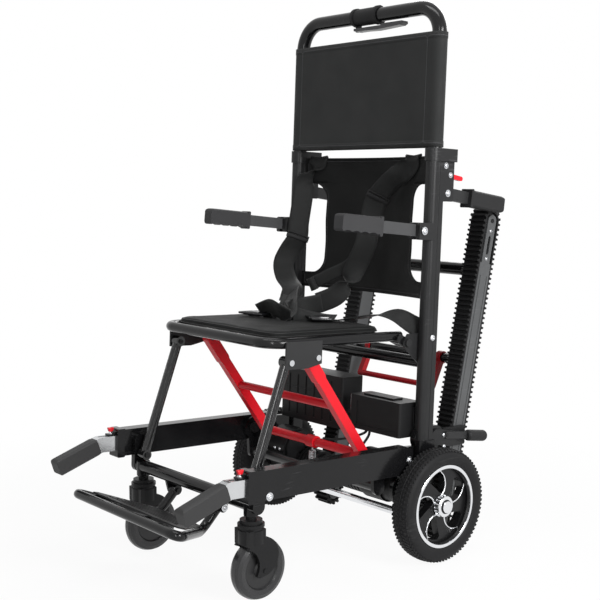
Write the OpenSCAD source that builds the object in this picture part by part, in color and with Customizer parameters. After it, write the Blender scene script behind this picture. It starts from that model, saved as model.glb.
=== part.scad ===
// Stair climbing wheelchair: +X is the sitter's left, -Y is the front, +Z is up, millimetres.
// The frame is drawn square on its own axes, with the rear axle at the origin, then leaned back.

/* [Overall] */
// Rear wheel diameter
wheel_d = 254; // [220:1:290]
// Lean of the whole frame towards the back, degrees
lean = 2.6; // [0:0.1:4]
// Distance between the two post centres
post_gap = 450; // [400:2:520]

/* [Back frame] */
// Post section, across
post_w = 30; // [30:0.5:34]
// Post section, front to back
post_d = 36; // [34:0.5:44]
// Height of the post tops above the axle
post_top = 751; // [690:1:830]
// Height of the top of the push handle above the axle
handle_top = 1101; // [1060:1:1180]
// Push handle tube diameter
handle_tube_d = 32; // [30:0.5:34]
// Height of the armrest pivot above the axle
arm_z = 598.6; // [570:1:630]
// Depth of the back sling's sag
sling_sag = 30; // [15:1:40]

/* [Rails and seat] */
// Rail height
rail_h = 60; // [54:1:66]
// Rail width
rail_w = 30; // [30:0.5:36]
// Length of the rails in front of the axle
rail_front = 509; // [490:1:540]
// Distance of the seat front tube in front of the axle
seat_front = 416; // [400:1:450]
// Height of the seat tube centre above the axle
seat_z = 366; // [360:1:372]
// Seat tube diameter
seat_tube_d = 22; // [20:0.5:24]
// Cushion thickness
cushion_t = 25; // [16:0.5:40]
// Caster wheel diameter
caster_d = 126; // [110:1:130]

/* [Tracks] */
// Belt width
track_w = 45; // [36:0.5:50]
// Distance between the two pulley centres
track_len = 722; // [660:1:760]
// Lean of the tracks against the posts, degrees
track_lean = 10.17; // [8:0.1:12]
// Distance between belt lugs
lug_pitch = 11.7; // [9:0.1:16]
// Height of the belt lugs
lug_h = 6.5; // [3:0.1:8]

/* [Hidden] */
$fn = 48;
play = 0.06;
air = 0.3;
hair = 0.02;
wheel_r = wheel_d / 2;
post_x = post_gap / 2;
post_in = post_x - post_w / 2;
post_y = post_d / 2;
nose_r = 13;
bore_r = 13 + play;
collar_top = post_top + 28;
handle_r = handle_tube_d / 2;
handle_z = handle_top - handle_r;
bend_r = 60;

rail_in = post_x - 3;
rail_out = rail_in + rail_w;
rail_x = rail_in + rail_w / 2;
rail_z = 100.5;
rail_rear = -55;
rail_wall = 2.5;
p0 = [-131, 101];
p1 = [-48, 353];
p3 = [-458, 76];
p2 = p1 + p3 - p0;
ps = [-303.5, 334.5];
pr = [-125, 104];
seat_gap = 7;
seat_x = post_in - seat_gap - seat_tube_d / 2;
seat_r = seat_tube_d / 2;
leg_out = post_in - seat_gap - air;
leg_w = 22;
leg_x = leg_out - leg_w / 2;
brace_out = leg_out - leg_w - 2.7;
brace_w = 20;
brace_x = brace_out - brace_w / 2;
foot_x0 = rail_in - 10;
foot_x1 = rail_in - 0.5;
foot_z = 70;
foot_top = 135;
axle_r = 8;
wheel_x = rail_out + 29;
motor = [-46, 28];
gear = [-62, 59];
tie = [-49, -26];
base_tube = [-125, 41];
back_tube = [6, 305.6];
pt = [42, 137];
lever_p = [71, 139];

track_b = [100.6, -86.5];
track_out = post_in - 2.5;
track_in = track_out - track_w;
belt_in = 19.5;
belt_out = 23.5;
track_tip = belt_out + lug_h;
top_tube_u = track_len - 118;
low_tube_u = track_len - 333;

front_tube = [-458, 49];
foot_p = [-449, 19];
foot_side = 189;
grip_dip = 20.7;
carry_knee = -548;
carry_z = 100.5;
pin_y = -520;
tab_z = carry_z + 17 + air;
tab_t = 4;
caster_x = post_x - 29;
caster_r = caster_d / 2;
caster_trail = 17;

// Front and rear reach decide where the axle stands, so that the box is centred on the origin
carry_grip = 114;
tip_y = carry_knee - (carry_grip - 9) * cos(grip_dip) - 10 * sin(grip_dip);
tip_z = carry_z - (carry_grip - 9) * sin(grip_dip) + 10 * cos(grip_dip);
front_reach = 9 - tip_y * cos(lean) - tip_z * sin(lean);
track_tip_y = track_b[0] + track_len * sin(track_lean);
track_tip_z = track_b[1] + track_len * cos(track_lean);
rear_reach = track_tip_y * cos(lean) + track_tip_z * sin(lean) + track_tip;
axle_y = (front_reach - rear_reach) / 2;

BLACK = [0.06, 0.06, 0.065];
SOOT = [0.1, 0.1, 0.105];
GREY = [0.5, 0.51, 0.53];
SILVER = [0.8, 0.8, 0.82];
RED = [0.75, 0.07, 0.09];

// Stands the frame on its wheels
module chassis() translate([0, axle_y, wheel_r]) rotate([-lean, 0, 0]) children();

// Puts a left-hand piece on the side named by s
module side(s) mirror([s < 0 ? 1 : 0, 0, 0]) children();

// A piece and its mirror twin
module both() {
  children();
  mirror([1, 0, 0]) children();
}

// Side-view outline pushed along X
module slab(x0, x1) translate([x0, 0, 0]) rotate([90, 0, 90]) linear_extrude(x1 - x0) children();

// Plan outline pushed upwards
module riser(z0, z1) translate([0, 0, z0]) linear_extrude(z1 - z0) children();

// Round bar along X at side-view point p
module bar_x(r, x0, x1, p) translate([x0, p[0], p[1]]) rotate([0, 90, 0]) cylinder(r = r, h = x1 - x0);

// Flat strip with round ends between two points; its sides lie a hair inside the ends' tangents
module strip(a, b, r) {
  d = b - a;
  w = r - hair;
  translate(a) circle(r);
  translate(b) circle(r);
  translate(a) rotate(atan2(d[1], d[0])) translate([0, -w]) square([norm(d), 2 * w]);
}

// Rectangle with round corners, from its lower corner
module pad(p, s, r) {
  translate(p + [r, 0]) square([s[0] - 2 * r, s[1]]);
  translate(p + [0, r]) square([s[0], s[1] - 2 * r]);
  for (i = [0, 1]) {
    for (j = [0, 1]) translate(p + [i ? s[0] - r : r, j ? s[1] - r : r]) circle(r);
  }
}

// Round rod between two points in space
module rod(a, b, r) {
  d = b - a;
  translate(a) rotate([0, acos(d[2] / norm(d)), atan2(d[1], d[0])]) cylinder(r = r, h = norm(d));
}

// Box with rounded upright edges
module case_box(lo, hi, r) riser(lo[2], hi[2]) pad([lo[0], lo[1]], [hi[0] - lo[0], hi[1] - lo[1]], r);

// Post outline in plan about the post's own centre, grown by g, with its rounded nose to the front
module post_outline(g) {
  w = post_w / 2 + g;
  d = post_y + g;
  r = nose_r + g;
  translate([-w, r - d]) square([2 * w, 2 * d - r]);
  translate([r - w, -d]) square([2 * w - 2 * r, r]);
  for (k = [-1, 1]) translate([k * (w - r), r - d]) circle(r);
}

// Post with flutes down its nose and a bore for the push handle leg
module posts() color(GREY) chassis() both() translate([post_x, 0, 0]) {
  riser(foot_z, post_top) difference() {
    post_outline(0);
    circle(bore_r);
    for (k = [-1, 1]) translate([k * (post_w / 2), 4]) circle(1.2);
    for (k = [-1, 1]) translate([k * 7, -post_y + 0.2]) circle(1);
  }
}

// Foot casting: post socket, axle plate, crawler lug and the forward plate that carries the rail pivot
module foot_frames() color(BLACK) chassis() both() difference() {
  union() {
    translate([post_x, 0, 0]) riser(foot_z - 22, foot_top) post_outline(4);
    slab(post_x + 3, post_x + 18) strip([0, 0], [0, 90], 26);
    slab(post_x - 12, post_x + 2) strip([0, pt[1]], pt, 26);
    slab(foot_x0, foot_x1) {
      strip([-10, 95], p0, 26);
      strip([-10, 70], motor, 38);
      strip(motor, tie, 14);
      strip(p0, base_tube, 16);
    }
  }
  translate([post_x, 0, 0]) riser(foot_z, post_top) post_outline(0.1);
  bar_x(axle_r, post_x, post_x + 30, [0, 0]);
  bar_x(axle_r + play, post_x - 20, post_x + 10, pt);
  bar_x(8, foot_x0 - 5, foot_x1 + 5, p0);
}

// Collar on each post top, with the rear handle's clevis and its two pins below it
rear_p = [post_y + 18, post_top - 69];
catch_p = [post_y + 24, post_top - 29];
module post_heads() color(SOOT) chassis() both() {
  difference() {
    union() {
      translate([post_x, 0, 0]) riser(post_top, collar_top) {
        post_outline(3);
        pad([-18, 10], [36, 49], 5);
      }
      slab(post_x - 12.5, post_x + 12.5) pad([post_y, post_top - 87], [35, 92], 4);
    }
    translate([post_x, 0, 0]) cylinder(r = bore_r, h = 1200);
    slab(post_x - 6.3, post_x + 6.3) pad([post_y + 3.5, post_top - 110], [60, 106], 2);
  }
  bar_x(5, post_x - 12.5, post_x + 12.5, rear_p);
  bar_x(3, post_x - 12.5, post_x + 12.5, catch_p);
}

// Clevis on the front of each post for the armrest
module arm_brackets() color(GREY) chassis() both() {
  difference() {
    slab(post_x - 17, post_x + 17) pad([-54, arm_z - 19.5], [50, 37], 5);
    translate([post_x, 0, 0]) riser(400, post_top) post_outline(0);
    slab(post_x - 5.4, post_x + 5.4) translate([-80, arm_z - 40]) square([55, 80]);
  }
  bar_x(5, post_x - 20, post_x + 20, [-41, arm_z]);
}

// Tube that ties the two posts behind the seat
module back_cross_tube() color(BLACK) chassis() bar_x(12.5, -post_in, post_in, back_tube);

// Three-cornered plates that carry the seat hinge
module seat_gussets() color(GREY) chassis() both() difference() {
  slab(post_in + 0.5, post_in + 4.5) {
    polygon([[0, 296], [0, 372], [-48, 372], [-62, 353], [-56, 341]]);
  }
  translate([post_x, 0, 0]) riser(200, 500) post_outline(0);
  bar_x(6, 150, post_x, p1);
}

// Pins of the rail pivots and of the seat hinge
module pivot_pins() color(SILVER) chassis() both() {
  bar_x(8, foot_x0 - 5, rail_in + rail_wall + 3, p0);
  bar_x(12, foot_x0 - 10, foot_x0, p0);
  bar_x(6, seat_x - 11, post_in + 4.5, p1);
  bar_x(9, post_in + 4.5, post_in + 10, p1);
}

// Chrome tie bar and the base tube that anchors the brace spring
module base_tubes() color(SILVER) chassis() {
  bar_x(9, -foot_x0, foot_x0, tie);
  bar_x(10, -foot_x0, foot_x0, base_tube);
}

// Gearbox and motor of one drive, held on the foot frame by the motor's end cap
module drive_units() color(SOOT) chassis() both() difference() {
  union() {
    slab(120, 180) {
      translate(gear) circle(48);
      translate(motor) circle(38);
    }
    bar_x(43, 112, 188, gear);
    bar_x(34, 44, 120, motor);
    bar_x(28, 36, 44, motor);
    bar_x(34, 180, foot_x0, motor);
  }
  for (k = [1 : 5]) difference() {
    bar_x(40, 46 + k * 11, 51 + k * 11, motor);
    bar_x(31.5, 40, 110, motor);
  }
  bar_x(14, 100, 114, gear);
}

// Control case, bolted to the right post by its own foot
module control_case() color(SOOT) chassis() difference() {
  union() {
    case_box([-post_in + 11, -56, 127], [20, 12, 249], 6);
    case_box([-post_in, -14, 150], [-post_in + 12, 10, 225], 1);
  }
  for (k = [0 : 5]) case_box([-170 + k * 30, -60, 140], [-164 + k * 30, -54, 236], 1);
  case_box([-post_in + 5, -57, 205], [25, -55, 208], 0.5);
}

// Battery case with its charging socket at the back
module battery_case() color(SOOT) chassis() difference() {
  union() {
    case_box([47, -56, 139], [post_in - 3, 12, 217], 6);
    case_box([post_in - 4, -14, 155], [post_in, 10, 205], 1);
    case_box([75, -40, 217], [170, -8, 221], 2);
    case_box([40, -54, 171], [48, -50.4, 179], 1);
    case_box([40, -29.6, 171], [48, -26, 179], 1);
    translate([43.6, -26, 175]) rotate([90, 0, 0]) cylinder(r = 1.5, h = 28);
  }
  case_box([70, -57, 150], [185, -54.5, 205], 0.5);
  translate([150, 13, 178]) rotate([90, 0, 0]) cylinder(r = 5.5, h = 13);
}

// Fixed axles of the two rear wheels with their outer caps
module axle_stubs() color(SILVER) chassis() both() {
  bar_x(axle_r, post_x + 3, wheel_x + 25, [0, 0]);
  bar_x(14, post_x + 18, wheel_x - 25, [0, 0]);
  bar_x(13, wheel_x + 24.5, wheel_x + 28, [0, 0]);
}

// Back sling: a sagging sheet, waisted at both sides
module back_sling() color(BLACK) chassis() {
  w = post_in - 0.6;
  big = w * w / (2 * sling_sag) + sling_sag / 2;
  y0 = 10 + sling_sag - big;
  z0 = post_top - 305;
  z1 = post_top + 12;
  intersection() {
    riser(z0, z1) translate([0, y0]) difference() {
      circle(big, $fn = 400);
      circle(big - 2.4, $fn = 400);
    }
    translate([0, 60, 0]) rotate([90, 0, 0]) linear_extrude(80) difference() {
      translate([-w, z0]) square([2 * w, z1 - z0]);
      both() {
        strip([w - 24, z0 + 76], [w - 24, z1 - 101], 40);
        translate([w - 24, z0 + 36.6]) square([60, z1 - z0 - 98.2]);
      }
      both() translate([post_in - 4, post_top - 0.5]) square([20, 30]);
    }
  }
}

// Flat webbing along a path: pts are points, dirs the directions across it
module ribbon(pts, dirs, w, t) {
  n = len(pts);
  tan = [for (i = [0 : n - 1]) pts[min(i + 1, n - 1)] - pts[max(i - 1, 0)]];
  nor = [for (i = [0 : n - 1]) let (c = cross(tan[i], dirs[i])) c / norm(c)];
  acr = [for (i = [0 : n - 1]) let (c = cross(nor[i], tan[i])) c / norm(c)];
  ring = [for (i = [0 : n - 1]) for (k = [[-1, -1], [1, -1], [1, 1], [-1, 1]])
    pts[i] + acr[i] * k[0] * w / 2 + nor[i] * k[1] * t / 2];
  quads = [for (i = [0 : n - 2]) for (k = [0 : 3])
    [4 * i + k, 4 * i + (k + 1) % 4, 4 * i + 4 + (k + 1) % 4, 4 * i + 4 + k]];
  tris = [for (q = quads) each [[q[2], q[1], q[0]], [q[3], q[2], q[0]]]];
  caps = [[0, 1, 2], [0, 2, 3], [4 * n - 2, 4 * n - 3, 4 * n - 4], [4 * n - 1, 4 * n - 2, 4 * n - 4]];
  polyhedron(points = ring, faces = concat(tris, caps));
}

// Smooth path through hand-set points
function spline(p, m) = [for (i = [0 : len(p) - 2]) for (j = [0 : m - 1]) knot(p, i, j / m), p[len(p) - 1]];
function knot(p, i, t) = let (
  a = p[max(i - 1, 0)],
  b = p[i],
  c = p[i + 1],
  d = p[min(i + 2, len(p) - 1)]
) 0.5 * (2 * b + (c - a) * t + (2 * a - 5 * b + 4 * c - d) * t * t + (3 * b - a - 3 * c + d) * t * t * t);

// Round cord along a path, closed at both ends
module cord(pts, r, k) {
  n = len(pts);
  tan = [for (i = [0 : n - 1]) let (c = pts[min(i + 1, n - 1)] - pts[max(i - 1, 0)]) c / norm(c)];
  up = [for (i = [0 : n - 1]) let (c = cross(tan[i], [0.83, 0.21, 0.52])) c / norm(c)];
  sd = [for (i = [0 : n - 1]) cross(tan[i], up[i])];
  ring = [for (i = [0 : n - 1]) for (j = [0 : k - 1])
    pts[i] + r * cos(360 * j / k) * up[i] + r * sin(360 * j / k) * sd[i]];
  tris = [for (i = [0 : n - 2]) for (j = [0 : k - 1]) each [
    [i * k + (j + 1) % k, i * k + j, i * k + k + j],
    [i * k + k + (j + 1) % k, i * k + (j + 1) % k, i * k + k + j]]];
  low = [for (j = [1 : k - 2]) [0, j, j + 1]];
  high = [for (j = [1 : k - 2]) [n * k - k, n * k - k + j + 1, n * k - k + j]];
  polyhedron(points = ring, faces = concat(tris, low, high));
}

// Shoulder straps: over the sling's top, then hanging free to the belt pile on the seat
strap_w = 50;
strap_near = spline([[140, sling_sag - 11, post_top + 6], [136, 17.5, post_top - 9], [112, 10, 722],
  [82, 4.3, 700], [50, -1, 660], [38, -6, 605], [34, -14, 556], [16, -24, 508], [6, -40, 468], [-10, -62, 438],
  [-36, -90, 420]], 6);
strap_far = spline([[-172, sling_sag - 16, post_top + 6], [-175, 11, post_top - 9], [-186, 2, 722], [-193, -9, 700],
  [-192, -16, 659], [-187, -29, 604], [-185, -34, 567], [-202, -44, 534], [-206, -58, 502], [-176, -74, 470],
  [-132, -90, 449], [-112, -110, 431], [-96, -128, 420]], 6);
function strap_turn(p, a, b, c) = [for (i = [0 : len(p) - 1]) let (
  k = min(1, i / 18),
  e = max(0, min(1, (i - 40) / 14))
) (a * (1 - k) + b * k) * (1 - e) + c * e];
module shoulder_straps() color(BLACK) chassis() {
  ribbon(strap_near, strap_turn(strap_near, [1, -0.19, 0], [0.72, 0.69, 0.1], [0.75, -0.5, 0.4]), strap_w, 2.4);
  ribbon(strap_far, strap_turn(strap_far, [1, 0.24, 0], [0.65, 0.76, 0], [0.65, 0.76, 0]), strap_w, 2.4);
}

// Waist strap from the left post to the seat
strap_waist = spline([[post_in - 1.9, 4, 376], [post_in - 8, -20, 388], [180, -52, 404], [150, -86, 406],
  [100, -112, 404.5], [48, -122, 404]], 6);
module waist_strap() color(BLACK) chassis()
  ribbon(strap_waist, [for (i = [0 : len(strap_waist) - 1]) [0.05, 0.9, 0.8 * max(0, 1 - i / 18)]], 42, 2.4);

// Leads from the battery case down to the two motors
lead_a = spline([[90, -30, 138.1], [90, -34, 122], [84, -46, 100], [80, -50, 78], [80, -46, 62.6]], 6);
lead_b = spline([[70, -20, 138.1], [66, -24, 124], [20, -40, 104], [-50, -48, 90], [-80, -47, 76],
  [-80, -46, 62.6]], 6);
module motor_leads() color(BLACK) chassis() {
  cord(lead_a, 3, 8);
  cord(lead_b, 3, 8);
}

// Turns a section about the rear axle on side s
module on_axle(s) side(s) translate([wheel_x, axle_y, wheel_r]) rotate([0, 90, 0]) children();

// Rear tyre with its tread grooves
rim_r = wheel_r - 37;
module tyre(s) color(SOOT) on_axle(s) rotate_extrude($fn = 96) polygon([
  [rim_r, -19], [rim_r + 8, -23.5], [rim_r + 18, -25], [rim_r + 27, -24], [wheel_r - 3.5, -18],
  [wheel_r - 1, -12], [wheel_r - 4, -11], [wheel_r - 4, -9], [wheel_r - 0.3, -8], [wheel_r, -2],
  [wheel_r - 3, -1.5], [wheel_r - 3, 1.5], [wheel_r, 2], [wheel_r - 0.3, 8], [wheel_r - 4, 9],
  [wheel_r - 4, 11], [wheel_r - 1, 12], [wheel_r - 3.5, 18], [rim_r + 27, 24], [rim_r + 18, 25],
  [rim_r + 8, 23.5], [rim_r, 19]
]);
module tyre_left() tyre(1);
module tyre_right() tyre(-1);

// Rim with five swept spokes and a finned hub; the spoke gaps are given as radius and angle
spoke_gap = [[25, 2], [34, -11], [48, -15], [64, -13], [77, -7], [77, 6], [76, 20], [68, 27], [56, 27],
  [42, 24], [31, 18]];
swirl = 0.35;
module rim(s) color(BLACK) on_axle(s) difference() {
  union() {
    rotate_extrude($fn = 96) {
      polygon([[rim_r - 8, -18.5], [rim_r - 0.3, -18.5], [rim_r - 0.3, 18.5], [rim_r + 1.5, 21.5],
        [rim_r - 3, 21.8], [rim_r - 8, 14]]);
      polygon([[7, -24.5], [17, -24.5], [23, -16], [23, 10], [19, 14], [19, 22], [16, 24], [7, 24]]);
    }
    translate([0, 0, -10]) linear_extrude(18) difference() {
      circle(rim_r - 7, $fn = 96);
      circle(20);
      for (k = [0 : 4]) rotate(72 * k + 18) scale(rim_r / 90) polygon([for (q = spoke_gap)
        let (a = q[1] + q[0] * swirl) q[0] * [cos(a), sin(a)]]);
    }
  }
  translate([0, 0, -40]) cylinder(r = axle_r + play, h = 90);
}
module rim_left() rim(1);
module rim_right() rim(-1);

// Push handle: a U of tube whose thinner legs slide in the posts
module push_handle() color(SOOT) chassis() {
  both() translate([post_x, 0, 0]) {
    translate([0, 0, collar_top + air]) cylinder(r = handle_r, h = handle_z - bend_r - collar_top - air);
    translate([0, 0, collar_top - 330]) cylinder(r = 13, h = 331);
    translate([-bend_r, 0, handle_z - bend_r]) rotate([90, 0, 0]) rotate_extrude(angle = 90) {
      translate([bend_r, 0]) circle(handle_r);
    }
  }
  bar_x(handle_r, bend_r - post_x, post_x - bend_r, [0, handle_z]);
}

// Sleeve in the middle of the handle: two end rings and a lug for the release lever
sleeve_l = -40;
sleeve_r = 38;
lever_z = handle_z - handle_r - 12;
lever_x = sleeve_l + 10;
module handle_sleeve() color(BLACK) chassis() difference() {
  union() {
    bar_x(handle_r + 3.5, sleeve_l, sleeve_r, [0, handle_z]);
    bar_x(handle_r + 5.5, sleeve_l - 1, sleeve_l + 7, [0, handle_z]);
    bar_x(handle_r + 5.5, sleeve_r - 7, sleeve_r + 1, [0, handle_z]);
    translate([lever_x - 7, -3, lever_z - 5]) cube([14, 6, 16]);
  }
  bar_x(handle_r, sleeve_l - 5, sleeve_r + 5, [0, handle_z]);
  translate([lever_x, -5, lever_z]) rotate([-90, 0, 0]) cylinder(r = 2.4 + play, h = 10);
}

// Bellied squeeze lever under the sleeve, slotted for the sleeve's lug
module release_lever() color(BLACK) chassis() translate([lever_x, 0, lever_z]) {
  difference() {
    translate([0, 10, 0]) rotate([90, 0, 0]) linear_extrude(20) polygon([[-7, 2.5], [80, 2.5], [86, 6],
      [148, 6], [149, 1], [142, -3], [100, -5], [65, -6.5], [30, -5], [0, -5], [-7, -3]]);
    translate([-15, -3.4, -20]) cube([27, 6.8, 40]);
  }
  translate([0, -9, 0]) rotate([-90, 0, 0]) cylinder(r = 2.4, h = 18);
}

// Head panel: a cloth sleeve round both handle legs
module head_panel() color(BLACK) chassis() riser(collar_top + 2, handle_top - 73) difference() {
  strip([-post_x, 0], [post_x, 0], handle_r + 2.4);
  strip([-post_x, 0], [post_x, 0], handle_r + 0.35);
}

// Grip outline along a bar: from u0 to u1, h high, with n finger waves beneath
module grip_side(u0, u1, h, n) {
  pitch = (u1 - u0 - 16) / max(n, 1);
  difference() {
    pad([u0, -h / 2], [u1 - u0, h], 9);
    if (n > 0) for (k = [0 : n - 1]) {
      translate([u0 + 12 + pitch * (k + 0.5), -h / 2 - pitch * 0.62]) circle(pitch * 0.82);
    }
  }
}

// Armrest: flat bar and rubber grip, lying forward of its pivot
arm_half = 13.5;
module armrest(s) color(BLACK) chassis() side(s) translate([0, -41, arm_z]) rotate([-3.4, 0, 0])
  mirror([0, 1, 0]) {
  difference() {
    union() {
      slab(post_x - 5, post_x + 5) strip([0, 0], [150, 0], 13);
      intersection() {
        slab(post_x - arm_half, post_x + arm_half) grip_side(122, 236, 38, 4);
        translate([post_x, 110, 0]) rotate([-90, 0, 0]) cylinder(r = 21, h = 140);
      }
      slab(post_x - arm_half, post_x + arm_half) pad([120, -21], [8, 42], 3);
    }
    bar_x(5 + play, post_x - 30, post_x + 30, [0, 0]);
  }
}
module armrest_left() armrest(1);
module armrest_right() armrest(-1);

// Rear handle: flat bar and rubber grip behind the post
module rear_handle(s) color(BLACK) chassis() side(s) translate([0, rear_p[0], rear_p[1]]) rotate([-6, 0, 0])
  difference() {
  union() {
    slab(post_x - 6, post_x + 6) strip([0, 0], [150, 0], 13.5);
    intersection() {
      slab(post_x - 15, post_x + 15) grip_side(78, 194, 38, 0);
      translate([post_x, 70, 0]) rotate([-90, 0, 0]) cylinder(r = 21, h = 140);
    }
    slab(post_x - 16, post_x + 16) pad([76, -21], [7, 42], 3);
  }
  bar_x(5 + play, post_x - 30, post_x + 30, [0, 0]);
}
module rear_handle_left() rear_handle(1);
module rear_handle_right() rear_handle(-1);

// Red catch above each rear handle
module catch_lever(s) color(RED) chassis() side(s) slab(post_x - 5, post_x + 5) difference() {
  union() {
    strip(catch_p, catch_p + [44, -6], 5);
    translate(catch_p) circle(7);
  }
  translate(catch_p) circle(3 + play);
}
module catch_left() catch_lever(1);
module catch_right() catch_lever(-1);

// Latch at the side of the battery case
module battery_latch() color(SILVER) chassis() difference() {
  union() {
    case_box([43.2, -50, 175], [46.6, -30, 216], 1);
    translate([43.6, -30, 175]) rotate([90, 0, 0]) cylinder(r = 3, h = 20);
  }
  translate([43.6, -20, 175]) rotate([90, 0, 0]) cylinder(r = 1.5 + play, h = 40);
}

// Moves a track outline from its own axes into the side view
module on_track() translate(track_b) rotate(90 - track_lean) children();
function track_point(u, v) = track_b + [u * sin(track_lean) - v * cos(track_lean),
  u * cos(track_lean) + v * sin(track_lean)];

// Side channel of one track with its lower cheeks and its upper tension fork
module track_channels() color(GREY) chassis() both() difference() {
  union() {
    slab(track_in, track_out) on_track() translate([26, -19]) square([track_len - 126, 38]);
    slab(track_in, track_in + 4) on_track() strip([0, 0], [40, 0], 15);
    slab(track_out - 4, track_out) on_track() strip([0, 0], [40, 0], 15);
    slab(track_in, track_in + 4) on_track() strip([track_len - 120, 0], [track_len, 0], 14);
    slab(track_out - 4, track_out) on_track() strip([track_len - 120, 0], [track_len, 0], 14);
  }
  slab(track_in + 4, track_out - 4) on_track() translate([-20, -16]) square([track_len + 40, 32]);
  slab(track_out - 1.2, track_out + 1) on_track() translate([40, -13]) square([track_len - 170, 3]);
  slab(track_out - 1.2, track_out + 1) on_track() translate([40, 10]) square([track_len - 170, 3]);
  slab(track_out - 6, track_out + 1) on_track() strip([track_len - 76, 0], [track_len - 40, 0], 4);
  slab(track_in - 1, track_out + 1) on_track() {
    circle(5 + play);
    translate([track_len, 0]) circle(5 + play);
  }
}

// Point on the belt loop at run s, raised by h
function loop_point(s, h) = let (
  r = belt_out + h,
  arc = PI * belt_out,
  a = (s - track_len) / belt_out * 180 / PI,
  b = (s - 2 * track_len - arc) / belt_out * 180 / PI
) s < track_len ? [s, -r] : s < track_len + arc ? [track_len + r * sin(a), -r * cos(a)] :
  s < 2 * track_len + arc ? [2 * track_len + arc - s, r] : [-r * sin(b), r * cos(b)];
loop = 2 * track_len + 2 * PI * belt_out;
lugs = floor(loop / lug_pitch);
lug_run = loop / lugs;

// Lugged belt of one track
module track_belts() color(SOOT) chassis() both() slab(track_in, track_out) on_track() difference() {
  polygon([for (i = [0 : lugs - 1]) for (q = [[0.04, 0], [0.16, lug_h], [0.5, lug_h], [0.62, 0]])
    loop_point((i + q[0]) * lug_run, q[1])]);
  strip([0, 0], [track_len, 0], belt_in);
}

// Cross tubes between the tracks
module track_tubes() color(BLACK) chassis() {
  bar_x(15, -track_in, track_in, track_point(top_tube_u, 0));
  bar_x(11, -track_in, track_in, track_point(low_tube_u, 0));
}

// Arm that hangs each track on its post foot
module crawler_arms() color(GREY) chassis() both() {
  bar_x(axle_r, post_x - 11, post_x + 4, pt);
  slab(post_x + 2.4, post_x + 7.4) strip(pt, [92, 128], 18);
  slab(track_out + 8, post_x + 2.4) pad([84, 110], [24, 36], 3);
  slab(track_out, track_out + 8) pad([84, 106], [72, 44], 4);
  bar_x(4, post_x + 7.4, post_x + 14, lever_p);
}

// Track pulley with shallow teeth, turning on its own pin
module pulley(s, u) color(BLACK) chassis() side(s) {
  slab(track_in + 4.5, track_out - 4.5) on_track() translate([u, 0]) difference() {
    circle(belt_in - air);
    for (k = [0 : 9]) rotate(36 * k) translate([belt_in + 0.6, 0]) circle(2.6);
  }
  bar_x(5, track_in, track_out + 1.5, track_point(u, 0));
}
module pulley_low_left() pulley(1, 0);
module pulley_low_right() pulley(-1, 0);
module pulley_top_left() pulley(1, track_len);
module pulley_top_right() pulley(-1, track_len);

// Lever with a rubber knob on the left crawler arm
module crawler_lever() color(BLACK) chassis() difference() {
  union() {
    slab(post_x + 7.8, post_x + 12.8) strip(lever_p, [145, 131], 8);
    translate([post_x + 10.3, 138, 131.5]) rotate([-96.8, 0, 0]) rotate_extrude() difference() {
      pad([-13, 0], [26, 64], 7);
      translate([-20, -1]) square([20, 70]);
    }
  }
  bar_x(4 + play, post_x, post_x + 20, lever_p);
}

// Red U bar on the lower cross tube
bar_top = track_point(low_tube_u, 0);
bar_low = [139.7, 229.6];
bar_out = 127;
bar_in = bar_out - 14;
module release_bar() color(RED) chassis() {
  both() difference() {
    slab(bar_in, bar_out) strip(bar_top, bar_low, 7);
    bar_x(11 + air, 100, 150, bar_top);
  }
  both() difference() {
    bar_x(15, bar_in, bar_out, bar_top);
    bar_x(11 + air, 100, 150, bar_top);
  }
  bar_x(7, -bar_out, bar_out, bar_low);
}

// Side rail: hollow section, collar on its front end and a tab for the spring pin
module rails() color(BLACK) chassis() both() difference() {
  union() {
    slab(rail_in, rail_out) {
      translate([-rail_front, rail_z - rail_h / 2]) square([rail_front + rail_rear, rail_h - 18]);
      translate([-rail_front, rail_z]) square([rail_front + rail_rear - 18, rail_h / 2]);
      translate([rail_rear - 18, rail_z + rail_h / 2 - 18]) circle(18);
    }
    slab(rail_in - 2.4, rail_out + 2.4) {
      pad([-rail_front - 2, rail_z - rail_h / 2 - 2.4], [20, rail_h + 4.8], 4);
    }
    slab(rail_x - 8, rail_x + 8) pad([pin_y - 9, tab_z], [30, tab_t], 1.5);
  }
  slab(rail_in + rail_wall, rail_out - rail_wall) pad([90 - rail_front, rail_z - rail_h / 2 + rail_wall],
    [rail_front + rail_rear - 96, rail_h - 2 * rail_wall], 4);
  slab(rail_x - 11 - play, rail_x + 11 + play) {
    translate([-rail_front - 10, carry_z - 17 - play]) square([130, 34 + 2 * play]);
  }
  bar_x(8 + play, rail_in - 1, rail_in + 5, p0);
  translate([rail_x, pin_y, 80]) cylinder(r = 3 + play, h = 90);
}

// Front cross member: tube, brackets on the rails, leg pins, caster housings and footrest ears
module front_cross() color(BLACK) difference() {
  union() {
    chassis() {
      bar_x(14, -post_in + 1, post_in - 1, front_tube);
      both() {
        slab(post_in - 1, rail_in) strip(front_tube, [front_tube[0], 104], 15);
        bar_x(6, leg_x - 14, post_in, p3);
        slab(90, 96) strip(front_tube, foot_p, 11);
        bar_x(5, 66, 100, foot_p);
      }
    }
    both() translate([caster_x, axle_y - 455, 176]) cylinder(r = 15, h = 32);
  }
  both() translate([caster_x, axle_y - 455, 100]) cylinder(r = 6 + play, h = 107);
}

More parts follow.
